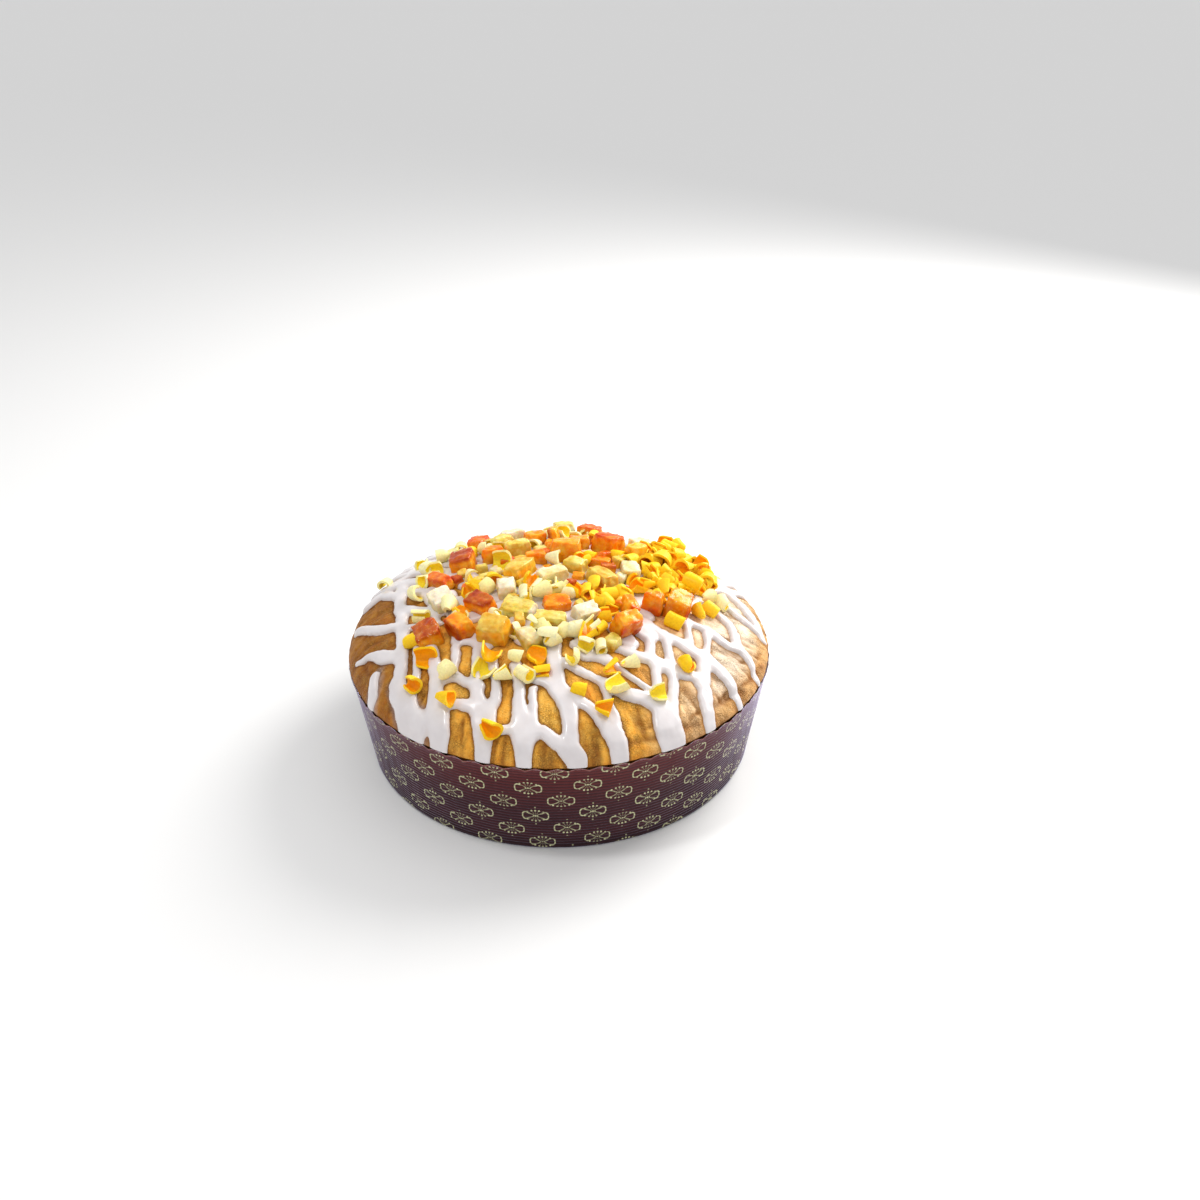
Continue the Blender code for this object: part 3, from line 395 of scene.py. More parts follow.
ORANGE_CURLS = [
    (-69, -37, 70, "scoop"), (-62, -52, 30, "flake"), (-66, -64, 0, "scoop"),
    (-50, -76, 10, "cone"), (-31, -92, -30, "cone"), (-46, -21, 20, "flake"),
    (-44, -6, 10, "cone"), (-30, -56, 110, "flake"), (-11, -56, -20, "flake"),
    (-8, -66, 15, "tube"), (8, -75, -20, "scoop"), (23, -64, 20, "cone"),
    (18, -86, -15, "cone"), (58, -55, 60, "scoop"), (55, -24, 85, "tube"),
    (69, -12, 30, "cone"), (75, -5, 60, "tube"), (8, -9, 90, "scoop"),
    (14, -10, 30, "tube"), (15, -17, 60, "cone"), (25, -9, 0, "flake"),
    (31, -8, 40, "tube"), (23, -18, 80, "scoop"), (21, -28, -30, "scoop"),
    (39, 6, -15, "tube"), (46, 22, 50, "cone"), (47, 11, 10, "scoop"),
    (55, 9, 0, "flake"), (60, 17, 5, "tube"), (64, 4, 80, "scoop"),
    (53, 1, 0, "cone"), (-32, 2, 20, "cone"), (-39, 0, 60, "flake"),
    (-45, 40, 15, "scoop"), (-38, -4, 50, "scoop"), (-13, 1, 0, "scoop"),
]

# Curls strewn by rule: the heap, stray yellow ones, and more on the heap and round the fruit
HEAP_CENTRE = (59, 31)
HEAP_RADII = (21, 30)
HEAP_CURLS = 22
HEAP_LIFTS = [0.0, 0.0, 2.4]
HEAP_TRIES = 4000
STREWN_YELLOW = 4
STREWN_SECTOR = (60, 160)
STREWN_REACH = (58, 84)
STREWN_KINDS = ["tube", "scoop", "cone", "cone", "flake"]
CURL_SPACING = 4.6
STREWN_SPACING = 7.4
EXTRA_HEAP = 30
EXTRA_HEAP_LIFTS = [0.0, 0.8, 1.8]
EXTRA_HEAP_ROOM = 2.0
EXTRA_KINDS = ["tube", "scoop", "cone", "cone", "scoop"]
EXTRA_LOOSE = 52
LOOSE_REACH = (12, 66)
LOOSE_CENTRE = (-4, 8)
LOOSE_SQUEEZE = (0.95, 0.9)
LOOSE_ROOM = 1.8
LOOSE_SPACING = 5.6
LOOSE_LIFT = 0.4
LOOSE_DIVIDE = 8

# Wax colours of the curls: outside, inside and the shade that some of them have
YELLOW_WAX = ((0.96, 0.85, 0.36), (0.94, 0.72, 0.035), (0.96, 0.89, 0.52))
ORANGE_WAX = ((0.99, 0.60, 0.008), (0.97, 0.38, 0.004), (0.99, 0.66, 0.03))

# Camera fitted to the photograph
CAMERA_PLACE = (0.0, -0.4965, 0.3616)
CAMERA_TILT = math.radians(59.95)
CAMERA_TURN = math.radians(-2.36)
CAMERA_LENS = 34.48

# Stage
FLOOR_REACH = 20.0
FLOOR_GREY = (0.86, 0.86, 0.86)
WORLD_LIGHT = 0.75

# Lights in metres: place, target, size, power and colour
KEY_LIGHT = ((0.62, 0.5, 0.6), (0.02, 0.0, 0.06), 0.7, 11.0, (1.0, 0.98, 0.95))
GLINT_LIGHT = ((-0.22, -0.12, 0.8), (0.0, 0.0, 0.06), 0.1, 1.2, (1.0, 1.0, 1.0))


def new_object(name, data):
    """An object of the scene that shows some data."""
    item = bpy.data.objects.new(name, data)
    bpy.context.scene.collection.objects.link(item)
    return item


def add_piece(name, mesh, finish, stands_for=()):
    """Show a mesh as a piece of the one body, in place of CAD nodes."""
    item = new_object(name, mesh)
    mesh.materials.append(finish)
    mesh.shade_smooth()
    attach(item, "root")
    if stands_for:
        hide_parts(*stands_for)


def array_mesh(name, points, faces):
    """A mesh from points in millimetres and blocks of faces as rows of indices."""
    mesh = bpy.data.meshes.new(name)
    rows = []
    for block in faces:
        rows += np.asarray(block).tolist()
    mesh.from_pydata((np.asarray(points) * MM).tolist(), [], rows)
    return mesh


def shifted(points, faces):
    """The faces of several bodies, renumbered for their joined points."""
    starts = np.cumsum([0] + [len(block) for block in points])
    return [start + np.asarray(block) for start, block in zip(starts, faces)]


def store(mesh, name, values):
    """Keep one number or colour for each vertex."""
    values = np.asarray(values, np.float32)
    if values.ndim == 1:
        layer = mesh.attributes.new(name, "FLOAT", "POINT")
        layer.data.foreach_set("value", values)
    else:
        layer = mesh.attributes.new(name, "FLOAT_COLOR", "POINT")
        rgba = np.concatenate([values, np.ones((len(values), 1), np.float32)], 1)
        layer.data.foreach_set("color", rgba.ravel())


def noise_at(points, scale, seed=0.0):
    """Smooth noise, from about -1 to 1, at each row of plan or space coordinates."""
    wide = np.zeros((len(points), 3))
    wide[:, :points.shape[1]] = points * scale
    wide[:, 2] += seed
    return np.array([noise.noise(Vector(row)) for row in wide])


# Dome and icing, by the same rules as the solids


def ring_at(angles, radius, height):
    """Points round the axis, at an angle, a radius and a height each."""
    return np.stack([radius * np.cos(angles), radius * np.sin(angles), height], 1)


def case_radius(height):
    """Outer radius of the paper wall, which flares to its rim."""
    return BASE_RADIUS + (RIM_RADIUS - BASE_RADIUS) * height / CASE_HEIGHT


def segment_distance(x, y, start, end):
    """Distance from each point to a segment, and how far along it the point lies."""
    run = (end[0] - start[0], end[1] - start[1])
    length = max(run[0] ** 2 + run[1] ** 2, 1e-9)
    along = np.clip(((x - start[0]) * run[0] + (y - start[1]) * run[1]) / length, 0, 1)
    distance = np.hypot(x - start[0] - along * run[0], y - start[1] - along * run[1])
    return distance, along


def smooth_run(points, parts=4):
    """Round off a run of (x, y, width) points with a Catmull-Rom curve."""
    run = [np.array(point, float) for point in points]
    padded = [2 * run[0] - run[1]] + run + [2 * run[-1] - run[-2]]
    curve = []
    for i in range(1, len(padded) - 2):
        before, here, there, after = padded[i - 1:i + 3]
        for step in range(parts):
            t = step / parts
            curve.append(0.5 * (2 * here + (there - before) * t
                                + (2 * before - 5 * here + 4 * there - after) * t ** 2
                                + (3 * here - before - 3 * there + after) * t ** 3))
    curve.append(run[-1])
    return curve


def plan_point(angle, reach, centre=(0, 0), stretch=(1, 1)):
    """A plan point at an angle and a distance from a centre."""
    return (centre[0] + stretch[0] * reach * math.cos(angle),
            centre[1] + stretch[1] * reach * math.sin(angle))


def pool_strokes(draw):
    """Icing in the middle, under the toppings."""
    strokes = []
    for i in range(POOL_STROKES):
        angle = math.tau * (i + draw.uniform(-POOL_JITTER, POOL_JITTER)) / POOL_STROKES
        reach = POOL_REACH * draw.uniform(*POOL_SHARES)
        start = draw.uniform(*POOL_START)
        places = ((start, angle), (POOL_MIDDLE * reach, angle + POOL_TWIST), (reach, angle))
        strokes.append([(*plan_point(turn, radius), width)
                        for (radius, turn), width in zip(places, POOL_WIDTHS)])
    return strokes


def far_drips(draw):
    """Drips that run down the far side."""
    drips = []
    for i in range(FAR_DRIPS):
        share = (i + 0.5 + draw.uniform(-FAR_JITTER, FAR_JITTER)) / FAR_DRIPS
        angle = math.radians(FAR_SECTOR[0] + FAR_SECTOR[1] * share)
        reach = draw.choice(FAR_REACHES)
        width = draw.uniform(*FAR_WIDTHS)
        bend = draw.uniform(-FAR_BEND, FAR_BEND)
        drip = []
        for part, size in FAR_PROFILE:
            radius = FAR_START + (reach - FAR_START) * part
            turn = angle + bend * math.sin(math.pi * part)
            drip.append((*plan_point(turn, radius), size * width))
        drips.append(drip)
    return drips


def far_links(draw, drips):
    """Thin strokes that join one far drip to the next."""
    links = []
    for _ in range(FAR_LINKS):
        first = draw.randrange(len(drips) - 1)
        part = draw.uniform(*LINK_PLACES)
        shift = draw.uniform(-LINK_SHIFT, LINK_SHIFT)
        ends = []
        for drip, place in ((drips[first], part), (drips[first + 1], part + shift)):
            spot = place * (len(drip) - 1)
            low = min(int(spot), len(drip) - 2)
            a, b = drip[low], drip[low + 1]
            x, y = (a[k] + (b[k] - a[k]) * (spot - low) for k in (0, 1))
            ends.append((x, y, LINK_WIDTH))
        links.append(ends)
    return links


def ruled_strokes():
    """Icing in the middle under the toppings, and drips with links on the far side."""
    draw = random.Random(11)
    pool = pool_strokes(draw)
    drips = far_drips(draw)
    return pool + far_links(draw, drips) + drips


def solid_icing_depth(x, y, strokes):
    """Thickness of the solids' icing over plan points: the highest of all strokes."""
    depth = np.zeros_like(x)
    for stroke in strokes:
        for start, end in zip(stroke, stroke[1:]):
            distance, along = segment_distance(x, y, start, end)
            half = start[2] + (end[2] - start[2]) * along
            crown = np.clip(1 - (distance / half) ** 2, 0, 1) ** 0.5
            depth = np.maximum(depth, ICING_HEIGHT * crown * np.clip(half / ICING_FULL_WIDTH, 0.5, 1))
    return depth


def inside_strokes(x, y, strokes):
    """How far inside the strokes' common outline each point lies, negative outside."""
    inside = np.full(x.shape, FAR_OUTSIDE)
    for stroke in strokes:
        run = np.array(stroke)
        reach = run[:, 2].max() + STROKE_MARGIN
        near = ((x > run[:, 0].min() - reach) & (x < run[:, 0].max() + reach)
                & (y > run[:, 1].min() - reach) & (y < run[:, 1].max() + reach))
        if not near.any():
            continue
        best = np.full(int(near.sum()), FAR_OUTSIDE)
        for start, end in zip(stroke, stroke[1:]):
            distance, along = segment_distance(x[near], y[near], start, end)
            best = np.maximum(best, start[2] + (end[2] - start[2]) * along - distance)
        old = inside[near]
        web = np.clip(ICING_BLEND - np.abs(old - best), 0, None)
        inside[near] = np.maximum(old, best) + web ** 2 / (4 * ICING_BLEND)
    return inside


def crust_relief(x, y):
    """Swells, wrinkles and folds of the crust over plan points."""
    relief = np.zeros_like(x)
    for size, scale in (SWELL, WRINKLE):
        relief += [size * noise.noise(Vector((a * scale, b * scale, size))) for a, b in zip(x, y)]
    for start, end, deep in FOLDS:
        distance, along = segment_distance(x, y, start, end)
        fade = np.sin(np.pi * np.clip(along, 0.08, 0.92))
        relief -= deep * fade * np.exp(-(distance / FOLD_WIDTH) ** 2)
    return relief


def dome_base(x, y):
    """Points of the plain dome, the way out of it, and how much relief its edge takes."""
    radius = np.clip(np.hypot(x, y), 1e-6, DOME_RADIUS)
    share = np.clip(1 - (radius / DOME_RADIUS) ** DOME_POWER, 0, 1) ** (1 / DOME_POWER)
    height = DOME_FOOT + DOME_RISE * share - DOME_LEAN * x * np.clip(1.5 * share, 0, 1)
    steep = (radius / DOME_RADIUS) ** (DOME_POWER - 1) / DOME_RADIUS
    flat = share ** (DOME_POWER - 1) / DOME_RISE
    out = np.stack([steep * x / radius, steep * y / radius, flat], 1)
    out /= np.linalg.norm(out, axis=1)[:, None]
    edge = np.clip((DOME_RADIUS - radius) / EDGE_FADE, EDGE_RELIEF, 1)
    return np.stack([x, y, height], 1), out, edge


def surface_frame(x, y, strokes):
    """A point of the solids' surface and the rotation that stands on it there."""
    a, b = np.array([float(x)]), np.array([float(y)])
    point, out, edge = dome_base(a, b)
    lift = (crust_relief(a, b) + solid_icing_depth(a, b, strokes)) * edge
    point = point + out * lift[:, None]
    upright = Vector(out[0]).to_track_quat("Z", "Y").to_matrix()
    return Vector(point[0]), Vector(out[0]), upright


def disc_grid(cells):
    """Plan points of an even square grid bent into the dome's round outline."""
    line = np.linspace(-1, 1, cells + 1)
    a, b = np.meshgrid(line, line)
    wide = np.abs(a) > np.abs(b)
    reach = np.where(wide, a, b)
    safe = np.where(reach == 0, 1, reach)
    turn = np.where(wide, 0.25 * np.pi * b / safe, 0.5 * np.pi - 0.25 * np.pi * a / safe)
    sweep = np.linspace(0, 0.5 * np.pi, 400)
    radii = DOME_RADIUS * np.sin(sweep) ** (2 / DOME_POWER)
    drops = DOME_RISE * np.cos(sweep) ** (2 / DOME_POWER)
    arc = np.concatenate([[0], np.cumsum(np.hypot(np.diff(radii), np.diff(drops)))])
    radius = np.sign(reach) * np.interp(np.abs(reach), arc / arc[-1], radii)
    return (radius * np.cos(turn)).ravel(), (radius * np.sin(turn)).ravel()


def grid_quads(rows, columns, closed=False):
    """Quads of a grid of points that is stored row by row."""
    r, c = np.meshgrid(np.arange(rows - 1), np.arange(columns if closed else columns - 1),
                       indexing="ij")
    r, c = r.ravel(), c.ravel()
    d = (c + 1) % columns
    return np.stack([r * columns + c, r * columns + d, (r + 1) * columns + d,
                     (r + 1) * columns + c], 1)


def grid_border(cells):
    """Indices round the edge of the square grid, in order."""
    n = cells + 1
    lower = np.arange(n)
    right = np.arange(1, n) * n + n - 1
    upper = (n - 1) * n + np.arange(n - 2, -1, -1)
    left = np.arange(n - 2, 0, -1) * n
    return np.concatenate([lower, right, upper, left])


# Materials


def shader_material(name, roughness, **values):
    """A material and its Principled shader, with plain values on its own sockets."""
    made = bpy.data.materials.new(name)
    made.use_nodes = True
    shader = made.node_tree.nodes["Principled BSDF"]
    shader.inputs["Roughness"].default_value = roughness
    for key, value in values.items():
        shader.inputs[key.replace("_", " ")].default_value = value
    return made, made.node_tree, shader


def node(tree, kind, inputs, **settings):
    """One shader node with its inputs linked or set."""
    made = tree.nodes.new("ShaderNode" + kind)
    for key, value in settings.items():
        setattr(made, key, value)
    for key, value in inputs.items():
        if isinstance(value, bpy.types.NodeSocket):
            tree.links.new(value, made.inputs[key])
        else:
            made.inputs[key].default_value = value
    return made


def sum_of(tree, operation, *values, clamp=False):
    """The result of one Math node."""
    inputs = dict(enumerate(values))
    return node(tree, "Math", inputs, operation=operation, use_clamp=clamp).outputs[0]


def attribute(tree, name, colour=False):
    """A stored number or colour."""
    made = node(tree, "Attribute", {}, attribute_name=name)
    return made.outputs["Color" if colour else "Fac"]


def noise_value(tree, scale, detail=3.0, rough=0.6):
    """Noise over the object's own coordinates."""
    place = node(tree, "TexCoord", {}).outputs["Object"]
    made = node(tree, "TexNoise", {"Vector": place, "Scale": scale, "Detail": detail,
                                   "Roughness": rough})
    return made.outputs["Fac"]


def between(tree, value, low, high, start=0.0, end=1.0):
    """Map a value from one range to another and keep it there."""
    made = node(tree, "MapRange", {"Value": value, "From Min": low, "From Max": high,
                                   "To Min": start, "To Max": end})
    return made.outputs[0]


def mixed(tree, share, first, second, blend="MIX"):
    """Mix two colours."""
    made = tree.nodes.new("ShaderNodeMix")
    made.data_type = "RGBA"
    made.blend_type = blend
    made.clamp_result = True
    for socket, value in ((made.inputs[0], share), (made.inputs[6], first),
                          (made.inputs[7], second)):
        if isinstance(value, bpy.types.NodeSocket):
            tree.links.new(value, socket)
        else:
            socket.default_value = value if not isinstance(value, tuple) else (*value, 1.0)
    return made.outputs[2]


def bumped(tree, shader, height, distance, strength=1.0):
    """Give the shader small relief."""
    made = node(tree, "Bump", {"Height": height, "Distance": distance, "Strength": strength})
    tree.links.new(made.outputs[0], shader.inputs["Normal"])


def crust_net(tree):
    """Fine bent cracks between the cells of the crust, in patches."""
    place = node(tree, "TexCoord", {}).outputs["Object"]
    warp = node(tree, "TexNoise", {"Vector": place, "Scale": 300.0, "Detail": 2.0})
    push = node(tree, "VectorMath", {0: warp.outputs["Color"], 3: 0.0022}, operation="SCALE")
    bent = node(tree, "VectorMath", {0: place, 1: push.outputs[0]}, operation="ADD").outputs[0]
    net = node(tree, "TexVoronoi", {"Vector": bent, "Scale": 830.0}, feature="DISTANCE_TO_EDGE")
    crack = between(tree, net.outputs["Distance"], 0.02, 0.2, 1.0, 0.0)
    patch = between(tree, noise_value(tree, 90.0, 2.0), 0.42, 0.6)
    return sum_of(tree, "MULTIPLY", crack, patch)


def crust_material():
    """Golden crust: stored tones with fine mottling, a net of cracks and grain."""
    made, tree, shader = shader_material("crust", 0.6, Specular_IOR_Level=0.22)
    mottle = between(tree, noise_value(tree, 260.0, 4.0, 0.65), 0.32, 0.7, 1.3, 0.88)
    tone = attribute(tree, "tone", colour=True)
    base = node(tree, "Gamma", {"Color": tone, "Gamma": mottle}).outputs[0]
    crack = crust_net(tree)
    base = mixed(tree, sum_of(tree, "MULTIPLY", crack, 0.22), base, CRACK_BROWN)
    pores = between(tree, noise_value(tree, 1500.0, 2.0, 0.5), 0.60, 0.72)
    base = mixed(tree, sum_of(tree, "MULTIPLY", pores, 0.4), base, PORE_BROWN)
    tree.links.new(base, shader.inputs["Base Color"])
    grain = sum_of(tree, "MULTIPLY_ADD", noise_value(tree, 1300.0), 0.5, noise_value(tree, 420.0))
    grain = sum_of(tree, "SUBTRACT", grain, sum_of(tree, "MULTIPLY", crack, 0.35))
    bumped(tree, shader, grain, 0.0014)
    return made


def icing_material():
    """Glossy opaque white icing."""
    made, tree, shader = shader_material(
        "icing", 0.3, Specular_IOR_Level=0.45, Subsurface_Weight=0.2,
        Subsurface_Scale=0.002, Coat_Weight=0.4, Coat_Roughness=0.08)
    shader.inputs["Subsurface Radius"].default_value = (1.0, 0.9, 0.8)
    thin = between(tree, attribute(tree, "inside"), 0.0, 1.1, 1.0, 0.0)
    cloud = between(tree, noise_value(tree, 120.0, 2.0), 0.4, 0.7)
    white = mixed(tree, cloud, ICING_WHITE, ICING_CLOUD)
    base = mixed(tree, sum_of(tree, "MULTIPLY", thin, 0.25), white, ICING_THIN)
    tree.links.new(base, shader.inputs["Base Color"])
    bumped(tree, shader, noise_value(tree, 300.0, 2.0), 0.00012, 0.5)
    return made


def curl_material(name, outside, inside, shade):
    """Waxy curls, paler outside than inside."""
    made, tree, shader = shader_material(
        name, 0.4, Specular_IOR_Level=0.1, Subsurface_Weight=0.2, Subsurface_Scale=0.002,
        Coat_Weight=0.05, Coat_Roughness=0.2)
    shader.inputs["Subsurface Radius"].default_value = (1.0, 0.7, 0.3)
    within = attribute(tree, "within")
    tone = attribute(tree, "tone")
    outer = mixed(tree, tone, outside, shade)
    base = mixed(tree, within, outer, inside)
    streak = between(tree, noise_value(tree, 900.0, 2.0), 0.35, 0.7, 0.9, 1.06)
    grey = node(tree, "CombineColor", {0: streak, 1: streak, 2: streak}).outputs[0]
    base = mixed(tree, 1.0, base, grey, "MULTIPLY")
    tree.links.new(base, shader.inputs["Base Color"])
    bumped(tree, shader, noise_value(tree, 1400.0, 2.0), 0.00012, 0.5)
    return made


def fruit_material(name, grain_scale, clear):
    """Glossy translucent candied fruit, with sugar on some pieces."""
    made, tree, shader = shader_material(
        name, 0.35, Specular_IOR_Level=0.1, Subsurface_Weight=0.3, Subsurface_Scale=0.003,
        Coat_Weight=0.35, Coat_Roughness=0.05, Transmission_Weight=clear)
    shader.inputs["Subsurface Radius"].default_value = (1.0, 0.45, 0.12)
    tone = attribute(tree, "tone", colour=True)
    veins = between(tree, noise_value(tree, 260.0), 0.45, 0.7, 0.0, 0.4)
    tone = mixed(tree, veins, tone, mixed(tree, 1.0, tone, VEIN_LIFT, "MULTIPLY"))
    deeper = between(tree, noise_value(tree, 300.0), 0.3, 0.7, 1.5, 0.85)
    base = node(tree, "Gamma", {"Color": tone, "Gamma": deeper}).outputs[0]
    place = node(tree, "TexCoord", {}).outputs["Object"]
    cells = node(tree, "TexVoronoi", {"Vector": place, "Scale": grain_scale})
    speck = between(tree, cells.outputs["Distance"], 0.2, 0.32, 1.0, 0.0)
    patch = between(tree, noise_value(tree, 300.0, 2.0), 0.46, 0.6)
    sugar = sum_of(tree, "MULTIPLY", speck, patch)
    sugar = sum_of(tree, "MULTIPLY", sugar, attribute(tree, "sugar"), clamp=True)
    base = mixed(tree, sugar, base, SUGAR)
    tree.links.new(base, shader.inputs["Base Color"])
    relief = sum_of(tree, "MULTIPLY_ADD", sugar, 0.6, noise_value(tree, 800.0))
    bumped(tree, shader, relief, 0.0004, 0.6)
    return made


def length_of(tree, first, second):
    """The length of a plan vector."""
    squares = [sum_of(tree, "MULTIPLY", value, value) for value in (first, second)]
    return sum_of(tree, "SQRT", sum_of(tree, "ADD", *squares))


def print_petals(tree, aside, up):
    """Outlines of two petals that open outwards."""
    do = partial(sum_of, tree)
    tall = between(tree, aside, *PETAL_SPAN, *PETAL_HEIGHTS)
    across = do("ABSOLUTE", do("DIVIDE", do("SUBTRACT", aside, PETAL_PLACE), PETAL_REACH))
    ring = do("ADD", do("POWER", across, 3.0), do("POWER", do("DIVIDE", up, tall), 3.0))
    line = do("ABSOLUTE", do("SUBTRACT", do("POWER", ring, 1 / 3), 1.0))
    return between(tree, line, *PETAL_LINE, 1.0, 0.0)


def print_rays(tree, x, up, reach):
    """Faint stems with a dot at the end, fanned up and down."""
    do = partial(sum_of, tree)
    angle = do("ARCTAN2", x, up)
    nearest = do("MULTIPLY", do("ROUND", do("DIVIDE", angle, RAY_STEP)), RAY_STEP)
    allowed = do("LESS_THAN", do("ABSOLUTE", nearest), RAY_LIMIT)
    end = do("ADD", RAY_LENGTH, do("MULTIPLY", do("MULTIPLY", nearest, nearest), RAY_GROWTH))
    off = do("MULTIPLY", reach, do("ABSOLUTE", do("SUBTRACT", angle, nearest)))
    past = do("SUBTRACT", reach, end)
    stem = do("MULTIPLY", between(tree, off, *STEM_EDGE, 0.45, 0.0), do("LESS_THAN", past, 0.0))
    stem = do("MULTIPLY", stem, do("GREATER_THAN", reach, STEM_START))
    dots = between(tree, length_of(tree, off, past), *DOT_EDGE, 1.0, 0.0)
    return do("MULTIPLY", do("MAXIMUM", stem, dots), allowed)


def print_mask(tree):
    """Where the printed ornament lies: two petals, a knot, dotted rays and a lone dot."""
    do = partial(sum_of, tree)
    place = node(tree, "UVMap", {}, uv_map="print").outputs[0]
    parts = node(tree, "SeparateXYZ", {"Vector": place})
    p, q = (do("SUBTRACT", do("FRACT", parts.outputs[i]), 0.5) for i in (0, 1))
    x, y = (do("ADD", do("MULTIPLY", p, across), do("MULTIPLY", q, down))
            for across, down in zip(*print_steps()))
    up = do("ABSOLUTE", y)
    reach = length_of(tree, x, y)
    petals = print_petals(tree, do("ABSOLUTE", x), up)
    rays = print_rays(tree, x, up, reach)
    knot = between(tree, reach, *KNOT_EDGE, 1.0, 0.0)
    lone = length_of(tree, x, do("SUBTRACT", up, LONE_PLACE))
    lone = between(tree, lone, *LONE_EDGE, 0.6, 0.0)
    return do("MAXIMUM", do("MAXIMUM", petals, rays), do("MAXIMUM", knot, lone))


def paper_material():
    """Dark ribbed baking paper with a pale printed ornament."""
    made, tree, shader = shader_material("paper", 0.44, Specular_IOR_Level=0.15,
                                         Sheen_Weight=1.0, Sheen_Roughness=0.3)
    shader.inputs["Sheen Tint"].default_value = (*PAPER_SHEEN, 1.0)
    place = node(tree, "TexCoord", {}).outputs["Object"]
    height = node(tree, "SeparateXYZ", {"Vector": place}).outputs[2]
    # Painted shade in the grooves between the ribs, on the paper and on its print
    phase = sum_of(tree, "MULTIPLY", height, math.tau / (RIDGE_PITCH * MM))
    ridge = between(tree, sum_of(tree, "COSINE", phase), -1.0, 0.2)
    cloud = between(tree, noise_value(tree, 60.0), 0.35, 0.7)
    dark = mixed(tree, cloud, PAPER_DARK, PAPER_CLOUD)
    dark = mixed(tree, between(tree, height, 0.024, 0.050, 0.0, 0.8), dark, PAPER_RED)
    # Painted shade, darker towards the foot of the case
    dark = mixed(tree, between(tree, height, 0.0, 0.009, 0.7, 0.0), dark, PAINTED_FOOT_SHADE)
    groove_shade = mixed(tree, 0.62, dark, PAINTED_GROOVE_SHADE)
    dark = mixed(tree, ridge, groove_shade, dark)
    ink = print_mask(tree)
    # The print is worn in places, lies only on the outside and is dimmer in the grooves as painted
    # shade
    worn = between(tree, noise_value(tree, 700.0, 2.0), 0.3, 0.55, 0.7, 1.0)
    for share in (worn, between(tree, ridge, 0.0, 1.0, 0.6, 1.0), attribute(tree, "outer")):
        ink = sum_of(tree, "MULTIPLY", ink, share)
    # Painted highlight along the rim's top edge
    dark = mixed(tree, attribute(tree, "lip"), dark, PAINTED_PAPER_EDGE_HIGHLIGHT)
    tree.links.new(mixed(tree, ink, dark, PRINT_INK), shader.inputs["Base Color"])
    bumped(tree, shader, noise_value(tree, 1200.0, 2.0), 0.0001, 0.5)
    return made


# Pieces


def print_steps():
    """The two steps of the print's lattice, along the case and up it."""
    round_it = math.tau * PRINT_RADIUS
    across = (round_it - PRINT_DOWN * PRINT_STEP[0]) / PRINT_ACROSS
    rise = -PRINT_DOWN * PRINT_STEP[1] / PRINT_ACROSS
    return (across, rise), PRINT_STEP


def print_place(along, height):
    """Lattice coordinates of a point on the wall."""
    a, b = print_steps()
    span = a[0] * b[1] - a[1] * b[0]
    s, h = along - PRINT_SHIFT[0], height - PRINT_SHIFT[1]
    return (s * b[1] - h * b[0]) / span + 0.5, (a[0] * h - a[1] * s) / span + 0.5


def case_wobble(angle, height):
    """Slow waves of the wall and small crumples beside the dent."""
    slow = 0.35 * noise_at(ring_at(angle, 5, height / 30), 1.0, 3.0)
    near = np.exp(-(((angle - DENT_ANGLE) / math.radians(6.0)) ** 2))
    creases = np.stack([angle * PRINT_RADIUS / 2.4, height / 7.0], 1)
    crumple = 0.7 * noise_at(creases, 1.0, 7.0) * near * np.clip((height - 26) / 18, 0, 1)
    return (slow + crumple) * np.clip(height / 6, 0, 1)


def rim_flare(height):
    """How far the top of the wall bends out round the loaf."""
    return RIM_FLARE * np.clip((height - 45) / 5, 0, 1) ** 2


def wall_radius(angles, height):
    """Outer radius of the wall with its slow waves and the bend of its top."""
    return case_radius(height) + case_wobble(angles, height) + rim_flare(height)


def rim_heights(angles):
    """Height of the scalloped rim, lower at the dent."""
    return (CASE_HEIGHT + RIM_LIFT + RIM_WAVE_HEIGHT * np.cos(RIM_WAVES * angles)
            - DENT_DEPTH * np.exp(-((angles - DENT_ANGLE) / DENT_SPREAD) ** 2))


def case_rings(angles, rim):
    """Rings of the foot, of the ribbed outside and of the inside, from bottom to bottom."""
    count = int(RIDGE_ROWS * CASE_HEIGHT / RIDGE_PITCH)
    foot = [ring_at(angles, BASE_RADIUS - inset, np.zeros(CASE_STEPS)) for inset in FOOT_INSETS]
    wall, inner = [], []
    for share in np.arange(count + 1) / count:
        height = PAPER + (rim - PAPER) * share
        ridge = RIDGE_HEIGHT * (np.cos(math.tau * height / RIDGE_PITCH) - 1)
        radius = wall_radius(angles, height) + ridge * min(1, RIDGE_START * share)
        wall.append(ring_at(angles, radius, height))
    for thickness, share in INNER_ROWS:
        height = PAPER + (rim - PAPER) * share
        inner.append(ring_at(angles, wall_radius(angles, height) - thickness, height))
    return foot, wall, inner


def store_print(mesh, quads, heights, rows):
    """Keep the print's lattice coordinates at each corner of the wall's quads."""
    column = np.tile(np.arange(CASE_STEPS), rows - 1)
    along = np.stack([column, column + 1, column + 1, column], 1) * math.tau / CASE_STEPS
    u, v = print_place(along * PRINT_RADIUS, heights[quads])
    uv = np.zeros((len(mesh.loops), 2), np.float32)
    uv[:quads.size] = np.stack([u.ravel(), v.ravel()], 1)
    mesh.uv_layers.new(name="print").data.foreach_set("uv", uv.ravel())


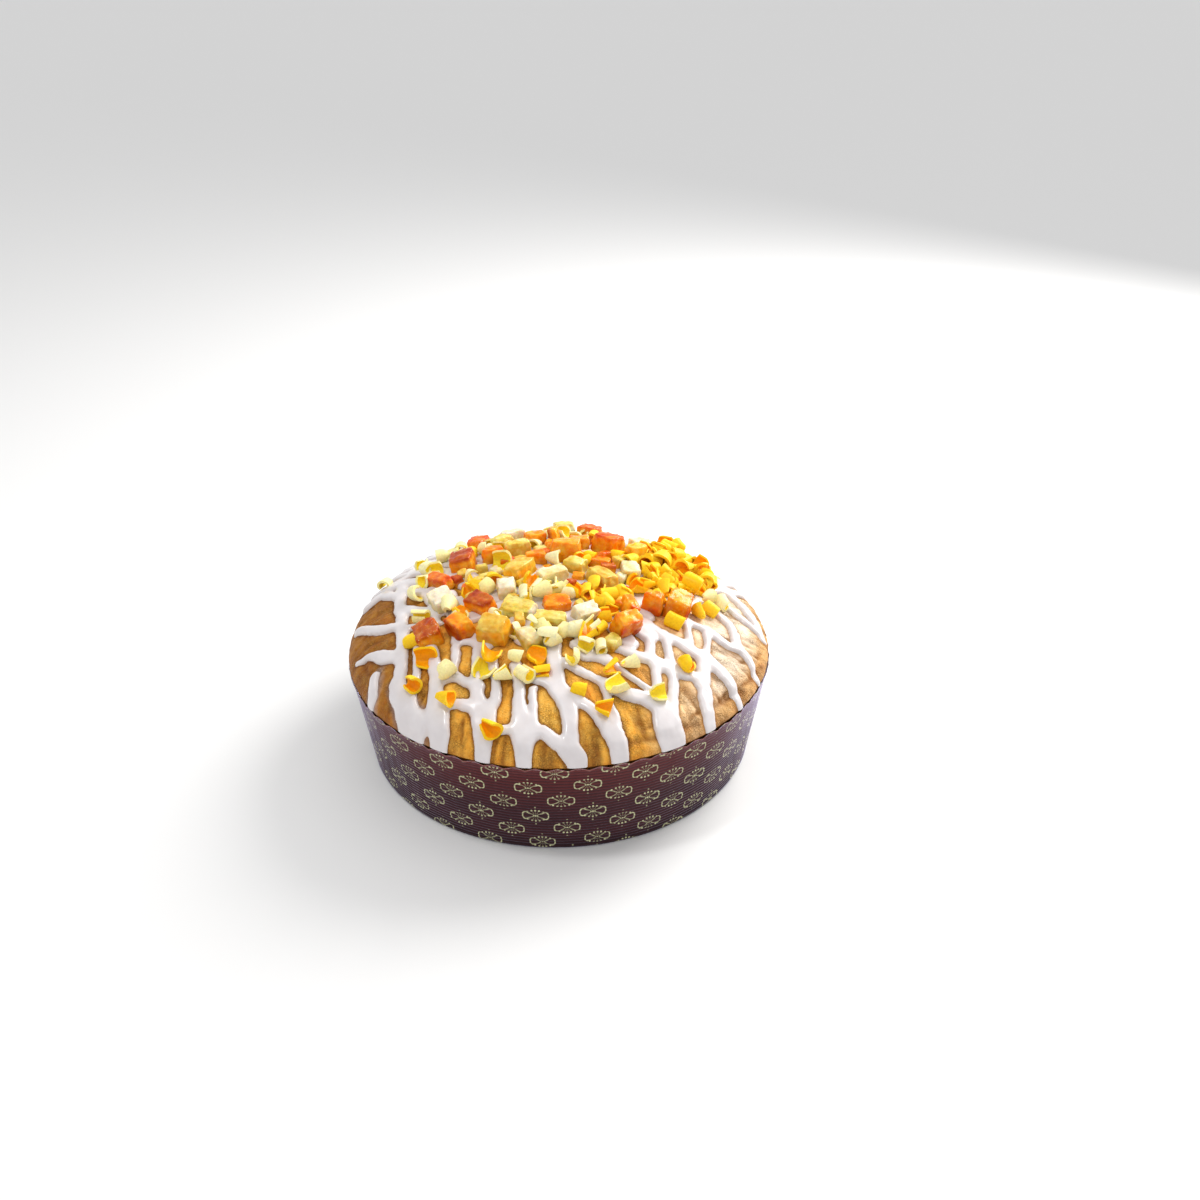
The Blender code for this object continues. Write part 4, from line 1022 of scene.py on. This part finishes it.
def make_case(finish):
    """The ribbed paper case with its scalloped rim."""
    angles = np.arange(CASE_STEPS) * math.tau / CASE_STEPS
    rim = rim_heights(angles)
    parts = case_rings(angles, rim)
    rows = sum(len(part) for part in parts)
    points = np.concatenate([ring for part in parts for ring in part])
    quads = grid_quads(rows, CASE_STEPS, closed=True)
    first = np.arange(CASE_STEPS)[::-1]
    last = np.arange(len(points) - CASE_STEPS, len(points))
    mesh = array_mesh("paper_case_look", points, [quads, [first], [last]])
    store(mesh, "outer", np.repeat([0, 1, 0], [CASE_STEPS * len(part) for part in parts]))
    # Share of the painted highlight along the rim's top edge
    above = points[:, 2] - np.tile(rim, rows) + EDGE_HIGHLIGHT_DEPTH
    store(mesh, "lip", np.clip(above / EDGE_HIGHLIGHT_FADE, 0, 1))
    store_print(mesh, quads, points[:, 2], rows)
    add_piece("paper_case_look", mesh, finish, ["paper_case"])


def crust_creases(x, y):
    """Fine soft creases down the sides of the loaf, small folds and small pits."""
    radius = np.hypot(x, y)
    angle = np.arctan2(y, x)
    plan = np.stack([x, y], 1)
    creases = np.zeros(len(x))
    for depth, turns, length, seed in CREASES:
        creases += depth * noise_at(ring_at(angle, turns, radius / length), 1.0, seed)
    bent_x, bent_y = x + 3 * noise_at(plan, 0.07, 25.0), y + 3 * noise_at(plan, 0.07, 27.0)
    for start, end in FINE_FOLDS:
        distance, along = segment_distance(bent_x, bent_y, start, end)
        fade = np.sin(np.pi * np.clip(along, 0.05, 0.95))
        creases -= FINE_FOLD_DEPTH * fade * np.exp(-(distance / FINE_FOLD_WIDTH) ** 2)
    pits = np.clip(noise_at(plan, 0.55, 23.0) - 0.25, 0, None)
    return creases * np.clip((radius - 50) / 45, 0, 1) - 0.25 * pits


def crust_tone(x, y, inside, creases):
    """Colour of the crust: golden, paler to the right as painted light, darker on the left, at the
    rim and in folds as painted shade, and darker by the icing, partly damp and partly shade.
    """
    radius = np.hypot(x, y)
    plan = np.stack([x, y], 1)
    # Painted light: paler on the right, where the light falls
    pale = np.clip((x - 34 + 12 * noise_at(plan, 0.04, 37.0)) / 40, 0, 1)
    pale = pale * np.clip((75 - y) / 40, 0.15, 1)
    # A line along the icing's edge: partly damp crust and partly painted shade
    line = np.exp(-(np.clip(-inside - 0.1, 0, None) / 0.7) ** 2) * (inside < 0.3)
    # Painted shade along the folds
    folds = np.zeros(len(x))
    for start, end, _ in FOLDS:
        distance, _ = segment_distance(x, y, start, end)
        folds = np.maximum(folds, np.exp(-(distance / FOLD_SHADE_WIDTH) ** 2))
    layers = [
        (np.clip(0.5 + 0.9 * noise_at(plan, 0.05, 31.0), 0, 1), LIGHT_GOLD),
        # painted light on the right side
        (0.9 * pale, PAINTED_LIGHT_PEACH),
        # painted shade near the rim on the lit right side
        (0.8 * pale * np.clip((radius - 94) / 8, 0, 1), PAINTED_RIGHT_RIM_SHADE),
        # painted shade on the left side
        (0.85 * np.clip((-x - 50) / 30, 0, 1), PAINTED_LEFT_SHADE),
        # the line by the icing, partly damp crust and partly painted shade, lighter in the painted
        # light
        (0.75 * line * (1 - 0.6 * pale), ICING_EDGE_DAMP_AND_SHADE),
        (0.7 * line * pale, LIT_ICING_EDGE_DAMP_AND_SHADE),
        # painted shade where the crust meets the paper rim
        (0.25 * np.exp(-(DOME_RADIUS - radius) / 0.6), PAINTED_RIM_SHADE),
        # painted shade in the folds
        (0.6 * folds, PAINTED_FOLD_SHADE),
        # painted shade in the creases and small pits
        (np.clip(-0.95 * creases, 0, 0.75), PAINTED_CREASE_SHADE),
    ]
    tone = np.tile([GOLD], (len(x), 1))
    for share, colour in layers:
        tone = tone * (1 - share[:, None]) + np.array(colour) * share[:, None]
    # Painted light on the crests of the creases and painted shade in their troughs and pits
    return tone * (1 + 0.25 * np.clip(creases, -0.8, 0.4))[:, None]


def milky_film(x, y, runs):
    """How much of the thin film of icing covers each point, in streaks down the side."""
    film = np.clip(inside_strokes(x, y, runs) / 3.0 + 0.2, 0, 1)
    streaks = np.stack([np.arctan2(y, x) * 40, np.hypot(x, y) / 12], 1)
    return 0.6 * film * np.clip(0.8 + 0.9 * noise_at(streaks, 1.0, 47.0), 0, 1)


def wavy(x, y):
    """Plan points shifted a little, which makes the icing's outline uneven."""
    plan = np.stack([x, y], 1)
    for scale, size, seed_x, seed_y in ICING_WAVES:
        x = x + size * noise_at(plan, scale, seed_x)
        y = y + size * noise_at(plan, scale, seed_y)
    return x, y


def loaf_side(x, y):
    """Rings of points below the dome, their quads and the indices of the lowest ring."""
    clear = PAPER + GAP
    profile = [(DOME_RADIUS - 0.25, DOME_FOOT - 0.5), (DOME_RADIUS - 0.8, DOME_FOOT - 1.0),
               (RIM_RADIUS - clear - 0.2, DOME_FOOT - 1.5), (case_radius(24.0) - clear - 0.2, 24.0),
               (BASE_RADIUS - clear - 1.2, clear + 0.8), (BASE_RADIUS - clear - 3.2, clear)]
    border = grid_border(DOME_CELLS)
    unit = np.stack([x[border], y[border]], 1)
    unit /= np.linalg.norm(unit, axis=1)[:, None]
    rings, quads, above = [], [], border
    for place, (radius, height) in enumerate(profile):
        rings.append(np.concatenate([unit * radius, np.full((len(border), 1), height)], 1))
        ring = len(x) + place * len(border) + np.arange(len(border))
        quads.append(np.stack([above, ring, np.roll(ring, -1), np.roll(above, -1)], 1))
        above = ring
    return rings, quads, above


def make_loaf(strokes, film_runs, finish):
    """The crust, with the icing left off it, and the fields that both are made from."""
    x, y = disc_grid(DOME_CELLS)
    base, out, edge = dome_base(x, y)
    relief = crust_relief(x, y)
    inside = inside_strokes(*wavy(x, y), strokes) + ICING_SPREAD
    creases = crust_creases(x, y) * np.clip(-inside / 1.5, 0, 1)
    under = UNDER_ICING * np.clip(inside, 0, 1)
    dome = base + out * ((relief + creases - under) * edge)[:, None]
    film = milky_film(x, y, film_runs)[:, None]
    tone = crust_tone(x, y, inside, creases) * (1 - film) + np.array(MILKY) * film
    rings, quads, lowest = loaf_side(x, y)
    faces = [grid_quads(DOME_CELLS + 1, DOME_CELLS + 1)] + quads + [[lowest[::-1]]]
    mesh = array_mesh("crust", np.concatenate([dome] + rings), faces)
    lower = np.tile([LOWER_CRUST], (len(mesh.vertices) - len(dome), 1))
    store(mesh, "tone", np.concatenate([tone, lower]))
    add_piece("crust", mesh, finish, ["bread"])
    return {"base": base, "out": out, "edge": edge, "relief": relief, "inside": inside}


def cut_outline(inside, triangles):
    """Faces within the outline, and the grid edges and shares where it makes new corners."""
    within = inside > 0
    count = within[triangles].sum(1)
    cuts = {}
    partial_faces = []

    def cut(a, b):
        """The index of the new corner on an edge."""
        return cuts.setdefault((min(a, b), max(a, b)), len(inside) + len(cuts))

    for corners in triangles[(count == 1) | (count == 2)].tolist():
        kept = [within[i] for i in corners]
        lone = kept.index(True) if sum(kept) == 1 else kept.index(False)
        a, b, c = corners[lone:] + corners[:lone]
        ab, ac = cut(a, b), cut(a, c)
        partial_faces += [[a, ab, ac]] if sum(kept) == 1 else [[ab, b, c], [ab, c, ac]]
    low, high = np.array(list(cuts)).T
    share = inside[low] / (inside[low] - inside[high])
    return np.concatenate([triangles[count == 3], partial_faces]), low, high, share[:, None]


def make_icing(field, finish):
    """The icing: the dome's grid cut along the strokes' outline and raised into beads."""
    inside = field["inside"]
    quads = grid_quads(DOME_CELLS + 1, DOME_CELLS + 1)
    triangles = np.concatenate([quads[:, [0, 1, 2]], quads[:, [0, 2, 3]]])
    faces, low, high, share = cut_outline(inside, triangles)

    def raised(height):
        """The dome's points with the icing or the crust at a height."""
        return field["base"] + field["out"] * ((field["relief"] + height) * field["edge"])[:, None]

    depth = np.clip(inside / ICING_BEAD, 0, 1)
    swell = 1 + 0.12 * noise_at(field["base"][:, :2], 0.09, 53.0)
    upper = raised(ICING_HEIGHT * np.sqrt(1 - (1 - depth) ** 2) * swell)
    crust = raised(-UNDER_ICING)
    edge = crust[low] * (1 - share) + crust[high] * share
    points = np.concatenate([upper, edge])
    margin = np.concatenate([np.clip(inside, 0, 5), np.zeros(len(edge))])
    used, renumbered = np.unique(faces, return_inverse=True)
    mesh = array_mesh("icing", points[used], [renumbered.reshape(faces.shape)])
    store(mesh, "inside", margin[used])
    add_piece("icing", mesh, finish)


# Curls


def double_walled(outer, inner):
    """Points, faces and inside share of the closed body between two grids of points."""
    rows, columns, _ = outer.shape
    total = rows * columns
    grid = np.arange(total).reshape(rows, columns)
    loop = np.concatenate([grid[0], grid[1:, -1], grid[-1, -2::-1], grid[-2:0:-1, 0]])
    outer, inner = outer.reshape(-1, 3), inner.reshape(-1, 3)
    here = 2 * total + np.arange(len(loop))
    there = np.roll(here, -1)
    strip = np.stack([here, there, len(loop) + there, len(loop) + here], 1)
    quads = grid_quads(rows, columns)
    faces = np.concatenate([quads[:, ::-1], quads + total, strip])
    points = np.concatenate([outer, inner, outer[loop], inner[loop]])
    return points, faces, np.repeat([0, 1, RIM_SHADE], [total, total, 2 * len(loop)])


def curl_shape(kind, draw):
    """Points, faces and inside share of one curl: a rolled sheet with a real wall."""
    form = CURL_KINDS[kind]
    u, v = np.meshgrid(*(np.linspace(-0.5, 0.5, count) for count in form.cells), indexing="ij")
    slope = draw.uniform(-0.12, 0.12)
    bend = draw.uniform(-0.5, 0.9)
    horn = form.horn * draw.uniform(0.6, 1.4)
    lip = form.lip * draw.uniform(0.3, 1.2)
    lip_turn = draw.uniform(-0.9, 0.9)
    angle = np.radians(form.arc * draw.uniform(0.94, 1.05)) * v
    pinch = form.pinch * draw.uniform(0.5, 1.2)
    radius = form.narrow + (form.wide - form.narrow) * (u + 0.5)
    radius = radius * (1 - pinch * np.clip((-0.1 - u) / 0.4, 0, 1) ** 2)
    radius = radius * (1 + form.spiral * v + 0.06 * np.cos(2 * angle + bend * 3))
    along = u * (1 + horn * (2 * np.abs(v)) ** 2.2 - 0.4 * horn) + slope * v
    along += CURL_SLANT * np.sin(angle) * u
    along += lip * (np.cos(angle - lip_turn) - 0.4) * np.clip(u + 0.1, 0, 1) ** 1.5
    wall = CURL_WALL * (1 - 0.3 * (2 * np.abs(v)) ** 6)
    droop = bend * (u ** 2 - 0.1)
    return double_walled(*(
        np.stack([along * form.length, reach * np.sin(angle), droop - reach * np.cos(angle)], 2)
        for reach in (radius + 0.5 * wall, radius - 0.5 * wall)))


def curl_pose(spot, draw, strokes, points, lift):
    """Lay a curl on the surface, as the solids' curls lie."""
    x, y, turn, _ = spot
    roll = draw.uniform(-CURL_ROLL, CURL_ROLL) + (180 if draw.random() < CURL_TIPPED else 0)
    pose = (Matrix.Rotation(math.radians(turn), 3, "Z")
            @ Matrix.Rotation(math.radians(draw.uniform(-CURL_TILT, CURL_TILT)), 3, "Y")
            @ Matrix.Rotation(math.radians(roll), 3, "X"))
    point, out, upright = surface_frame(x, y, strokes)
    turned = points @ np.array(upright @ pose).T
    lowest = float((turned @ np.array(out)).min())
    return turned + np.array(point + out * (lift - CURL_SINK - lowest))


def far_from(x, y, taken, spacing):
    """Whether a plan point is farther than the spacing from all taken ones."""
    return all(math.hypot(x - a, y - b) > spacing for a, b in taken)


def heap_place(draw):
    """A random plan point of the heap, and how far out in it the point lies."""
    reach, angle = math.sqrt(draw.random()), draw.uniform(0, math.tau)
    return (*plan_point(angle, reach, HEAP_CENTRE, HEAP_RADII), reach)


def strewn_spots():
    """The heap of orange curls at the back right, and stray yellow ones, by rule."""
    draw = random.Random(23)
    taken = [spot[:2] for spot in YELLOW_CURLS + ORANGE_CURLS]
    heap, stray = [], []
    for _ in range(HEAP_TRIES):
        if len(heap) == HEAP_CURLS:
            break
        x, y, _ = heap_place(draw)
        if far_from(x, y, taken, CURL_SPACING):
            taken.append((x, y))
            heap.append((x, y, draw.uniform(0, 180), draw.choice(STREWN_KINDS)))
    while len(stray) < STREWN_YELLOW:
        angle = math.radians(draw.uniform(*STREWN_SECTOR))
        reach = draw.uniform(*STREWN_REACH)
        x, y = plan_point(angle, reach)
        if far_from(x, y, taken, STREWN_SPACING):
            taken.append((x, y))
            stray.append((x, y, draw.uniform(0, 180), draw.choice(STREWN_KINDS)))
    return heap, stray


def clear_of_fruit(x, y, spare):
    """Whether a plan point lies off every piece of fruit."""
    for fx, fy, length, width, _, turn, _ in ORANGE_PEEL + CITRON:
        c, s = math.cos(math.radians(turn)), math.sin(math.radians(turn))
        a, b = (x - fx) * c + (y - fy) * s, -(x - fx) * s + (y - fy) * c
        if abs(a) < 0.5 * length + spare and abs(b) < 0.5 * width + spare:
            return False
    return True


def bit_specs():
    """Small bits of fruit between the cubes, more than the solids carry, for each kind."""
    draw = random.Random(97)
    curls = [(spot[0], spot[1], BIT_ROOM) for spot in YELLOW_CURLS + ORANGE_CURLS]
    taken = []
    specs = {"orange_peel": [], "citron": []}
    for _ in range(BIT_TRIES):
        if len(taken) == BITS:
            break
        angle, reach = draw.uniform(0, math.tau), math.sqrt(draw.random())
        x, y = plan_point(angle, reach, BIT_CENTRE, BIT_REACH)
        size = draw.uniform(*BIT_SIZES)
        shape = [size * draw.uniform(*span) for span in BIT_SPANS]
        turn, lean = draw.uniform(0, 180), draw.uniform(-BIT_LEAN, BIT_LEAN)
        free = all(math.hypot(x - a, y - b) > 0.5 * (size + other) for a, b, other in curls + taken)
        if free and clear_of_fruit(x, y, 0.5 * size):
            taken.append((x, y, size))
            kind = "orange_peel" if draw.random() < BIT_ORANGE else "citron"
            specs[kind].append((x, y, *shape, turn, lean))
    return specs


def extra_spots():
    """More small curls than the solids carry: on the heap and between the fruit."""
    draw = random.Random(61)
    bits = bit_specs()
    taken = [spec[:2] for spec in bits["orange_peel"] + bits["citron"]]
    heap, loose = [], []
    while len(heap) < EXTRA_HEAP:
        x, y, reach = heap_place(draw)
        lift = draw.choice(EXTRA_HEAP_LIFTS) * (1 - 0.7 * reach)
        if clear_of_fruit(x, y, EXTRA_HEAP_ROOM):
            heap.append(((x, y, draw.uniform(0, 180), draw.choice(EXTRA_KINDS)), lift))
    for _ in range(BIT_TRIES):
        if len(loose) == EXTRA_LOOSE:
            break
        angle, reach = draw.uniform(0, math.tau), draw.uniform(*LOOSE_REACH)
        x, y = plan_point(angle, reach, LOOSE_CENTRE, LOOSE_SQUEEZE)
        if clear_of_fruit(x, y, LOOSE_ROOM) and far_from(x, y, taken, LOOSE_SPACING):
            taken.append((x, y))
            loose.append(((x, y, draw.uniform(0, 180), draw.choice(EXTRA_KINDS)), LOOSE_LIFT))
    return heap, loose


def curl_jobs():
    """Every curl as its spot, random stream, lift and colour; no lift means a drawn one."""
    draw, extra = random.Random(5), random.Random(83)
    heap, stray = strewn_spots()
    more_heap, loose = extra_spots()
    jobs = [(spot, draw, 0.0, "yellow") for spot in YELLOW_CURLS]
    jobs += [(spot, draw, 0.0, "orange") for spot in ORANGE_CURLS]
    jobs += [(spot, draw, 0.0, "yellow") for spot in stray]
    jobs += [(spot, draw, None, "orange") for spot in heap]
    jobs += [(spot, extra, lift, "orange") for spot, lift in more_heap]
    jobs += [(spot, extra, lift, "yellow" if spot[0] < LOOSE_DIVIDE else "orange")
             for spot, lift in loose]
    return jobs


def make_curls(strokes, finishes):
    """All curls, joined into one piece for each colour."""
    look = random.Random(71)
    made = {colour: [] for colour in finishes}
    for spot, stream, lift, colour in curl_jobs():
        if lift is None:
            lift = stream.choice(HEAP_LIFTS)
        size = stream.uniform(*CURL_SIZES)
        points, faces, within = curl_shape(spot[3], look)
        placed = curl_pose(spot, stream, strokes, points * size, lift)
        made[colour].append((placed, faces, within, look.random()))
    for colour, finish in finishes.items():
        points, faces, within, tones = zip(*made[colour])
        mesh = array_mesh(colour + "_curls", np.concatenate(points), shifted(points, faces))
        store(mesh, "within", np.concatenate(within))
        store(mesh, "tone", np.repeat(tones, [len(block) for block in points]))
        add_piece(colour + "_curls", mesh, finish)


# Candied fruit


def node_mesh(node_name):
    """A copy of a CAD piece of fruit with its corners joined, in metres."""
    work = bmesh.new()
    work.from_mesh(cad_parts[node_name].data)
    bmesh.ops.remove_doubles(work, verts=work.verts, dist=0.01 * MM)
    mesh = bpy.data.meshes.new(node_name + "_fine")
    work.to_mesh(mesh)
    work.free()
    return mesh


def bit_mesh(centre, axes, sides):
    """A small block in metres with its base wider than its top."""
    corners = np.array([(a, b, c) for a in (-1, 1) for b in (-1, 1) for c in (-1, 1)]) / 2
    corners[:, :2] *= np.where(corners[:, 2:] > 0, BIT_TAPER, 1.0)
    points = (corners * sides) @ axes.T + centre
    return array_mesh("bit", points, [[(0, 1, 3, 2), (4, 6, 7, 5), (0, 4, 5, 1), (2, 3, 7, 6),
                                       (0, 2, 6, 4), (1, 5, 7, 3)]])


def refined(mesh):
    """A mesh in metres with rounded edges and fine faces, as points and faces in mm."""
    item = new_object(mesh.name, mesh)
    bevel = item.modifiers.new("round", "BEVEL")
    bevel.width = FRUIT_ROUND * MM
    bevel.segments = 2
    bevel.limit_method = "ANGLE"
    bevel.angle_limit = math.radians(40)
    fine = item.modifiers.new("fine", "SUBSURF")
    fine.levels = 2
    fine.render_levels = 2
    bpy.context.view_layer.update()
    graph = bpy.context.evaluated_depsgraph_get()
    made = bpy.data.meshes.new_from_object(item.evaluated_get(graph))
    points = np.array([vertex.co[:] for vertex in made.vertices]) / MM
    faces = [list(face.vertices) for face in made.polygons]
    bpy.data.objects.remove(item, do_unlink=True)
    for used in (mesh, made):
        bpy.data.meshes.remove(used)
    return points, faces


def fruit_tone(local, sides, rough, tint, seed, fanned):
    """Colour of one piece: peel on one side and flesh behind it, in uneven depths."""
    side, peel, flesh = tint
    depth = abs(np.array(side) @ sides) / 2 - local @ np.array(side, float)
    share = np.clip((depth - PEEL_DEPTH - 0.6 * rough) / 1.5, 0, 1)[:, None]
    tone = np.array(peel) * (1 - share) + np.array(flesh) * share
    if fanned:
        turns = np.arctan2(local[:, 1] + 0.5 * sides[1], local[:, 0] + 0.4 * sides[0])
        fibre = noise_at(np.stack([turns * 16, np.zeros(len(turns))], 1), 1.0, 9.0)
        tone = tone * (1 + 0.35 * fibre)[:, None]
    # Painted shade: each piece is darker towards its bottom
    low = np.clip(0.5 - local[:, 2] / sides[2], 0, 1)
    deep = np.clip(0.4 + 1.3 * noise_at(local, 0.2, seed + 0.25), 0, 1)
    return tone ** (1 + 0.5 * deep)[:, None] * (1.06 - 0.3 * low + 0.12 * rough)[:, None]


def fruit_piece(name, spec, tint, strokes, seed, level):
    """One piece of fruit, from its node or as a new bit: points, faces, tone and sugar."""
    x, y, *sides, turn, lean = spec
    sides = FRUIT_SCALE * np.array(sides)
    point, out, upright = surface_frame(x, y, strokes)
    pose = Matrix.Rotation(math.radians(turn), 3, "Z") @ Matrix.Rotation(math.radians(lean), 3, "X")
    axes = np.array(upright @ pose)
    centre = np.array(point + out * (0.5 * sides[2] - FRUIT_SINK))
    points, faces = refined(node_mesh(name) if name else bit_mesh(centre, axes, sides))
    local = (points - centre) @ axes
    rough, fine = noise_at(local, 0.42, seed), noise_at(local, 1.1, seed + 0.5)
    away = local / np.maximum(np.linalg.norm(local, axis=1), 1e-6)[:, None]
    points = points + (away * (0.3 + 0.75 * rough + 0.2 * fine)[:, None]) @ axes.T
    tone = fruit_tone(local, sides, rough, tint, seed, name == FANNED)
    near = np.sort(np.abs(local) / (0.5 * sides), axis=1)[:, 1]
    return points, faces, tone, level * np.clip((near - 0.72) / 0.2, 0.15, 1)


def make_fruit(kind, specs, tints, strokes, finish, first_seed):
    """All pieces of one kind of fruit, each with its own peel side and colours."""
    names = [f"{kind}_{number:02d}" for number in range(1, len(specs) + 1)]
    bits = bit_specs()[kind]
    jobs = list(zip(names, specs, tints)) + list(zip(repeat(None), bits, cycle(BIT_TINTS[kind])))
    made = []
    for number, (name, spec, tint) in enumerate(jobs, 1):
        level = 1.0 if name in SUGARED else 0.3
        made.append(fruit_piece(name, spec, tint, strokes, first_seed + number, level))
    points, faces, tones, sugar = zip(*made)
    mesh = array_mesh(kind + "_look", np.concatenate(points), shifted(points, faces))
    store(mesh, "tone", np.concatenate(tones))
    store(mesh, "sugar", np.concatenate(sugar))
    add_piece(kind + "_look", mesh, finish, names)


# Stage


def area_light(name, place, target, size, power, colour):
    """A soft round light aimed at a point."""
    lamp = bpy.data.lights.new(name, "AREA")
    lamp.shape = "DISK"
    lamp.size = size
    lamp.energy = power
    lamp.color = colour
    item = new_object(name, lamp)
    item.location = place
    item.rotation_euler = (Vector(target) - Vector(place)).to_track_quat("-Z", "Y").to_euler()


def make_floor():
    """A pale floor."""
    mesh = bpy.data.meshes.new("floor")
    corners = [(-1, -1), (1, -1), (1, 1), (-1, 1)]
    mesh.from_pydata([(FLOOR_REACH * a, FLOOR_REACH * b, 0) for a, b in corners], [], [(0, 1, 2, 3)])
    made, _, shader = shader_material("floor", 0.7)
    shader.inputs["Base Color"].default_value = (*FLOOR_GREY, 1.0)
    mesh.materials.append(made)
    new_object("floor", mesh)


def make_camera():
    """The photograph's camera."""
    camera = bpy.data.cameras.new("camera")
    camera.lens = CAMERA_LENS
    camera.sensor_width = 36.0
    item = new_object("camera", camera)
    item.location = CAMERA_PLACE
    item.rotation_euler = (CAMERA_TILT, 0.0, CAMERA_TURN)
    bpy.context.scene.camera = item


def make_stage():
    """Pale floor, soft light from the back right, a small glint and the camera."""
    make_floor()
    world = bpy.data.worlds.new("studio")
    bpy.context.scene.world = world
    world.use_nodes = True
    shade = world.node_tree.nodes["Background"]
    shade.inputs["Color"].default_value = (1.0, 1.0, 1.0, 1.0)
    shade.inputs["Strength"].default_value = WORLD_LIGHT
    area_light("key", *KEY_LIGHT)
    area_light("glint", *GLINT_LIGHT)
    make_camera()
    bpy.context.scene.view_settings.view_transform = "Standard"


def main():
    """Build every piece and the stage."""
    strokes = [smooth_run(stroke) for stroke in ICING_STROKES + ruled_strokes()]
    film_runs = [smooth_run(stroke) for stroke in SMEARS]
    make_case(paper_material())
    field = make_loaf(strokes, film_runs, crust_material())
    make_icing(field, icing_material())
    make_curls(strokes, {"yellow": curl_material("yellow_curl", *YELLOW_WAX),
                         "orange": curl_material("orange_curl", *ORANGE_WAX)})
    make_fruit("orange_peel", ORANGE_PEEL, ORANGE_TINTS, strokes,
               fruit_material("orange_peel", 1000.0, 0.03), 100)
    make_fruit("citron", CITRON, CITRON_TINTS, strokes, fruit_material("citron", 1100.0, 0.05), 121)
    make_stage()


main()
